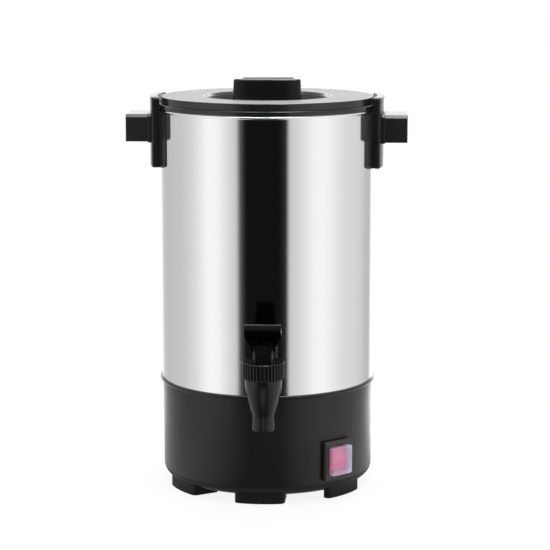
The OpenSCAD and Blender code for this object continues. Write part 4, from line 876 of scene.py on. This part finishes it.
lever = sliced(slab("lever_paddle", side_view, -1, 1, "x"), 2, [z for z, _ in WIDTHS[1:-1]])
for vertex in lever.data.vertices:
    vertex.co.x = math.copysign(half_width(vertex.co.z / MM), vertex.co.x) * MM
moved(cleaned(lever), y=TAP_Y, z=PIN_Z)
combined(lever, slab("cutter", box_outline(15.8, 60, 1, 3, 0, TAP_Y), PIN_Z - 20, PIN_Z + 4.7))
softened(lever, 0.8, 4, 38, 36)
placed(lever, LEVER_PLASTIC, "lever", "lever_plastic", "tap_lever")

# %% [markdown]
# ## The base
# The base is turned from one outline, with the lip that stands out under the tank. A pocket for
# the switch is cut into it, and a flat pad for the power inlet is joined on at the back. Feet
# are curved blocks, each with a rib at one end.

# %% Base shell
(_, _, base_low), (LIP, _, _) = edges("base_shell")
BASE_TOP, BASE_FOOT, BASE_LOW = 93.8, 93.2, base_low - 0.7
SWITCH_TURN, SWITCH_Z = 41.3, middle("switch_cover")[2]
INLET_TURN, INLET_Z, PLINTH_FACE = 90, middle("inlet_housing")[2], 95.8
base = lathe("base_moulding", rounded([
    (57, BASE_LOW, 0.4), (BASE_FOOT, BASE_LOW, 10), (BASE_TOP, 93.4, 1.2), (LIP, 94.9, 0.5),
    (LIP, SEAM, 0.5), (91.4, SEAM, 0), (91.4, 94.9, 0), (90.8, 19.4, 7.1), (86, 12, 6),
    (57, 12, 0.4)], 8), 256)
plinth = softened(slab("plinth", box_outline(58, 31, 2, 4, 0, INLET_Z), 86, PLINTH_FACE, "x"),
                  0.8, 3, 50)
combined(base, moved(plinth, turn=INLET_TURN), "UNION")
for turn, z, width, height, corner, low, high in (  # switch pocket, its hole, inlet hole
        (SWITCH_TURN - 90, SWITCH_Z, 32.4, 36.2, 0.9, 93.2, 110),
        (SWITCH_TURN - 90, SWITCH_Z, 27.4, 29.9, 0.6, 80, 94),
        (INLET_TURN, INLET_Z, 28.4, 20.4, 0.6, 74, 110)):
    hole = slab("cutter", box_outline(width, height, corner, 3, 0, z), low, high, "x")
    combined(base, moved(hole, turn=turn))
placed(base, BASE_PLASTIC, "urn", "base_plastic", "base_shell")


# %% Feet
def foot(name, turn):
    """A curved block with a rib that runs inwards at its end, and soft outer corners."""
    outer, inner, rib_end, rib = 90, 83.5, 64, 3
    half, ends = outer * math.sin(math.radians(14)), outer * math.cos(math.radians(14))
    front = [(outer * math.cos(math.radians(a)), outer * math.sin(math.radians(a)), 0)
             for a in (-8, -4, 0, 4, 8)]
    rear = [(inner * math.cos(math.radians(a)), inner * math.sin(math.radians(a)), 0)
            for a in (7.5, 3.5, 0, -3.5, -7)]
    outline = rounded([
        (ends, -half, 4.5), *front, (ends, half, 5), (rib_end, half, 0.6),
        (rib_end, half - rib, 0.6), (inner - 1, half - rib, 0.8), *rear,
        (inner - 2.4, -half, 0.8)], 6)
    return moved(softened(slab(name, outline, 0, 15.5), 0.9, 3, 50), turn=turn - 90)


FOOT_TURN, FOOT_PITCH = -3, 55
turns = [FOOT_TURN + group + FOOT_PITCH * k for group in (0, 180) for k in (-1, 0, 1)]
feet = [foot("foot" + str(k), turn) for k, turn in enumerate(turns)]
placed(merged(*feet), FOOT_PLASTIC, "urn", "foot_plastic", "feet")

# %% [markdown]
# ## The switch
# A frame snaps into the pocket, a red rocker swings in it, and a soft milky cap keeps the
# splashes out. The cap could be real glass to the renderer, but thin frosted plastic is easier
# to steer as a surface that is partly see-through: the red behind it shows as pink, and light
# on it is painted: a highlight on its rim and right side, a reflection low down, and shade at
# the top left.

# %% Switch frame
POCKET, FRAME_FACE, COVER_FACE = 93.3, 97.5, 102.3
SWITCH_AT = {"z": SWITCH_Z, "turn": SWITCH_TURN - 90}
bezel = softened(slab("switch_frame", box_outline(31, 34.8, 1.1, 4), POCKET, FRAME_FACE, "x"),
                 1.1, 4, 50)
combined(bezel, slab("cutter", box_outline(23.6, 25.8, 2.3, 5), POCKET - 1, FRAME_FACE + 1, "x"))
softened(bezel, 0.3, 2, 50)
placed(moved(bezel, **SWITCH_AT), BEZEL_PLASTIC, "urn", "bezel_plastic", "switch_bezel")


# %% Splash cover
def dome(name, width, height, low, high, corner, edge):
    """A cap that stands on x, with round corners and a round front edge."""
    rings = [[(low, y, z) for y, z in box_outline(width, height, corner, 6)]]
    for k in range(7):
        a = math.radians(15 * k)
        inset = edge * (1 - math.cos(a))
        plan = box_outline(width - 2 * inset, height - 2 * inset, corner - inset * 0.8, 6)
        rings.append([(high - edge + edge * math.sin(a), y, z) for y, z in plan])
    return loft(name, rings)


COVER_WIDE, COVER_HIGH = 23.2, 25.4
cover = dome("splash_cover", COVER_WIDE, COVER_HIGH, POCKET, COVER_FACE, 2.2, 2.2)
combined(cover, dome("cutter", 21.4, 23.6, POCKET - 1, COVER_FACE - 0.9, 1.6, 1.4))
FROST = Finish("cover_clear", Roughness=0.28, Coat_Weight=0.7, Coat_Roughness=0.06, IOR=1.4)
cloud = FROST.noise(140, 3)
_, across, up = FROST.split(FROST.node(
    "Mapping", {"vector_type": "TEXTURE"}, Vector=FROST.place, Location=(0, 0, SWITCH_Z * MM),
    Rotation=(0, 0, math.radians(SWITCH_TURN - 90))))
across, up = across * (2 / (COVER_WIDE * MM)), up * (2 / (COVER_HIGH * MM))
# Painted light on the cap: the right side is lilac and paler as if lit, the top edge is pale but
# darker at the left where the frame's shadow falls, the low side is pale as a painted reflection of
# the floor, and the rim is a painted highlight.
painted_light_right = FROST.between(across, 0.1, 0.95, smooth=True)
painted_top_highlight = FROST.between(up, 0.78, 0.95, smooth=True)
painted_low_reflection = FROST.between(up, -0.35, -0.98, smooth=True)
painted_rim_highlight = 1 - ((1 - FROST.between(across, 0.84, 0.97, smooth=True))
           * (1 - FROST.between(up, -0.84, -0.97, smooth=True)))
# Where the milk shows: partly the frost's own thickness at the curved edges, partly painted light.
frost_and_painted_light = painted_light_right * 0.55 + painted_top_highlight * (0.2 + painted_light_right * 0.3) + painted_low_reflection * 0.4 + painted_rim_highlight * 0.3
milk_and_painted_lilac = FROST.blend(painted_light_right, (0.62, 0.38, 0.56, 1), (0.47, 0.50, 0.66, 1))
# The rim's pale blue-grey is a painted highlight.
FROST.set(Base_Color=FROST.blend(painted_rim_highlight, milk_and_painted_lilac, (0.74, 0.74, 0.84, 1)),
          Alpha=0.22 + cloud * 0.16 + frost_and_painted_light * 0.58)
FROST.relief(FROST.noise(900, 3), 0.04 * MM)
placed(moved(cover, **SWITCH_AT), FROST, "urn", "cover_clear", "switch_cover")

# %% Rocker
HINGE_X, LEAN = POCKET - 1.5, math.radians(8)
profile = rounded([(-7, -7, 0.4), (-7, 7, 0.4), (1.5, 10, 0.8), (4.2, 9.6, 0.9), (5.6, 0, 12),
                   (4.2, -9.6, 0.9), (1.5, -10, 0.8)], 5)
tilted = [(x * math.cos(LEAN) + z * math.sin(LEAN) + HINGE_X,
           z * math.cos(LEAN) - x * math.sin(LEAN)) for x, z in profile]
rocker = loft("red_rocker", [[(x, y, z) for x, z in tilted] for y in (-8.8, 8.8)])
softened(rocker, 0.6, 3, 50)
pins = lathe("pins", rounded([(0, -10.8, 0), (1.2, -10.8, 0.3), (1.2, 10.8, 0.3), (0, 10.8, 0)], 3),
             32, (HINGE_X, 0, 0), "y")
ROCKER_RED = Finish("rocker_red", Roughness=0.22, Coat_Weight=0.4, Coat_Roughness=0.06,
                    Emission_Strength=0.22)
mottle = ROCKER_RED.noise(60, 2)
ROCKER_RED.set(
    Base_Color=ROCKER_RED.blend(mottle, (0.52, 0.015, 0.06, 1), (0.66, 0.03, 0.10, 1)),
    Emission_Color=ROCKER_RED.blend(mottle, (0.80, 0.03, 0.12, 1), (0.95, 0.06, 0.18, 1)))
ROCKER_RED.relief(ROCKER_RED.noise(2500, 2), 0.006 * MM)
placed(moved(merged(rocker, pins), **SWITCH_AT), ROCKER_RED, "rocker", "rocker_red", "rocker")

# %% [markdown]
# ## The power inlet
# At the back the lead plugs into a socket behind a flat flange. Its hole is the shape of the
# connector, with a key at one side, and three blades stand in it.

# %% Inlet
inlet = softened(slab("inlet_moulding", box_outline(50, 24, 4, 6), PLINTH_FACE, PLINTH_FACE + 2.5,
                      "x"), 0.5, 3, 50)
combined(inlet, slab("housing", box_outline(28, 20, 1, 3), PLINTH_FACE - 21, PLINTH_FACE + 1, "x"),
         "UNION")
hole = rounded([(-12.3, -8.3, 1), (-1.5, -8.3, 0.3), (-1.5, -6.7, 0.3), (1.5, -6.7, 0.3),
                (1.5, -8.3, 0.3), (12.3, -8.3, 1), (12.3, 4, 2), (8, 8.3, 2), (-8, 8.3, 2),
                (-12.3, 4, 2)], 4)
combined(inlet, slab("cutter", hole, PLINTH_FACE - 14, PLINTH_FACE + 4, "x"))
for y in (-20, 20):
    combined(inlet, lathe("cutter", [(0, 94), (1.6, 94), (1.6, 100), (0, 100)], 32, (0, y, 0), "x"))
softened(inlet, 0.2, 2, 55)
placed(moved(inlet, z=INLET_Z, turn=INLET_TURN), INLET_PLASTIC, "urn", "inlet_plastic",
       "inlet_housing")

# %% [markdown]
# ## Parts inside
# Under the lid and inside the base are parts that show only when something moves: the
# percolator's tube and basket, the heater, the tap's spring, screws and wires. Their shapes
# come with the model. Each gets a finish for its own stuff: spun aluminium has rings round
# it, drawn rod has lines along it, glass braid has a weave.

# %% Finishes of the parts inside
UPRIGHT, RINGS, EVEN = (2600, 2600, 40), (40, 40, 2600), (600, 600, 600)
tube = metal("pump_aluminium", (0.77, 0.77, 0.78), 0.3, UPRIGHT, 0.006)
inner = {
    "screw_steel": metal("screw_steel", (0.64, 0.63, 0.62), 0.3, EVEN),
    "black_screws": metal("black_screws", (0.05, 0.05, 0.05), 0.42, EVEN),
    "nut_steel": metal("nut_steel", (0.60, 0.60, 0.62), 0.34, EVEN, 0.015, 0.18),
    "spring_steel": metal("spring_steel", (0.55, 0.55, 0.57), 0.25, EVEN),
    "disc_steel": metal("disc_steel", (0.68, 0.68, 0.69), 0.22, (900, 900, 900)),
    "shield_steel": metal("shield_steel", (0.56, 0.57, 0.58), 0.42, (90, 90, 90), 0.02, 0.25),
    "element_sheath": metal("element_sheath", (0.27, 0.25, 0.23), 0.5, (500, 500, 500), 0.02, 0.3),
    "percolator_aluminium": metal("percolator_aluminium", (0.77, 0.77, 0.78), 0.32, RINGS, 0.006),
    "plate_aluminium": metal("plate_aluminium", (0.6, 0.6, 0.61), 0.5, (700, 700, 700), 0.03, 0.2),
    "fuse_case": metal("fuse_case", (0.68, 0.57, 0.4), 0.38, EVEN, 0.01, 0.2),
    "brass_parts": metal("brass_parts", (0.76, 0.6, 0.31), 0.28, EVEN, 0.008, 0.15),
    "blade_nickel": metal("blade_nickel", (0.72, 0.7, 0.67), 0.22, (1500, 60, 1500), 0.006),
    "silicone": moulded("silicone", (0.78, 0.78, 0.73), 0.55, 3000, 0.01),
    "phenolic": moulded("phenolic", (0.1, 0.048, 0.028), 0.3, 1800, 0.02),
    "terminal_nylon": moulded("terminal_nylon", (0.8, 0.78, 0.7), 0.5, 3000, 0.02),
    "switch_nylon": moulded("switch_nylon", (0.028, 0.028, 0.028), 0.5, 3600, 0.02),
    "wire_brown": moulded("wire_brown", (0.15, 0.065, 0.03), 0.38, 2400, 0.015),
    "wire_black": moulded("wire_black", (0.02, 0.02, 0.02), 0.38, 2400, 0.015),
    "wire_blue": moulded("wire_blue", (0.03, 0.12, 0.4), 0.38, 2400, 0.015),
}
print(len(inner), "metals and plastics inside")

# %% Wires and lamp
braid = Finish("wire_white")
BANDS = {"wave_type": "BANDS", "bands_direction": "DIAGONAL"}
weave = braid.node("TexWave", BANDS, pick=1, Vector=braid.place, Scale=700, Distortion=2)
braid.set(Base_Color=braid.blend(weave, (0.62, 0.6, 0.55, 1), (0.82, 0.81, 0.77, 1)),
          Roughness=0.65 + weave * 0.15)
braid.relief(weave, 0.1 * MM)
inner["wire_white"] = braid

earth = Finish("wire_green")
stripe = earth.node("TexWave", BANDS, pick=1, Vector=earth.place, Scale=60)
earth.set(Base_Color=earth.blend(stripe > 0.7, (0.1, 0.36, 0.05, 1), (0.72, 0.62, 0.05, 1)),
          Roughness=0.34 + stripe * 0.05)
inner["wire_green"] = earth

glass = Finish("lamp_glass", Roughness=0.08, Coat_Weight=0.5, Emission_Strength=0.8)
warmth = glass.noise(300, 1)
glass.set(Base_Color=glass.blend(warmth, (0.85, 0.5, 0.3, 1), (0.95, 0.66, 0.45, 1)),
          Emission_Color=glass.blend(warmth, (0.9, 0.25, 0.06, 1), (1.0, 0.4, 0.12, 1)))
inner["lamp_glass"] = glass
print("braid, striped wire and lamp glass")

# %% Give every node its finish
outer = {
    "tank_steel": TANK_STEEL, "body_plastic": LID_PLASTIC, "knob_plastic": KNOB_PLASTIC,
    "handle_plastic": HANDLE_PLASTIC, "base_plastic": BASE_PLASTIC, "foot_plastic": FOOT_PLASTIC,
    "tap_plastic": TAP_PLASTIC, "lever_plastic": LEVER_PLASTIC, "bezel_plastic": BEZEL_PLASTIC,
    "rocker_red": ROCKER_RED, "cover_clear": FROST, "inlet_plastic": INLET_PLASTIC,
}
for row in NODE_ROWS:
    node, slot = row["node"], row["material_slot"]
    finish = tube if node == "pump_tube" else {**outer, **inner}[slot]
    for material_slot in NODES[node].material_slots:
        material_slot.material = finish.material
print(len(inner) + len(outer), "finishes by slot,", len(NODE_ROWS), "nodes dressed")

# %% [markdown]
# ## Finish
# The Standard view shows a colour as it is written.

# %% Finish
bpy.context.scene.view_settings.view_transform = "Standard"
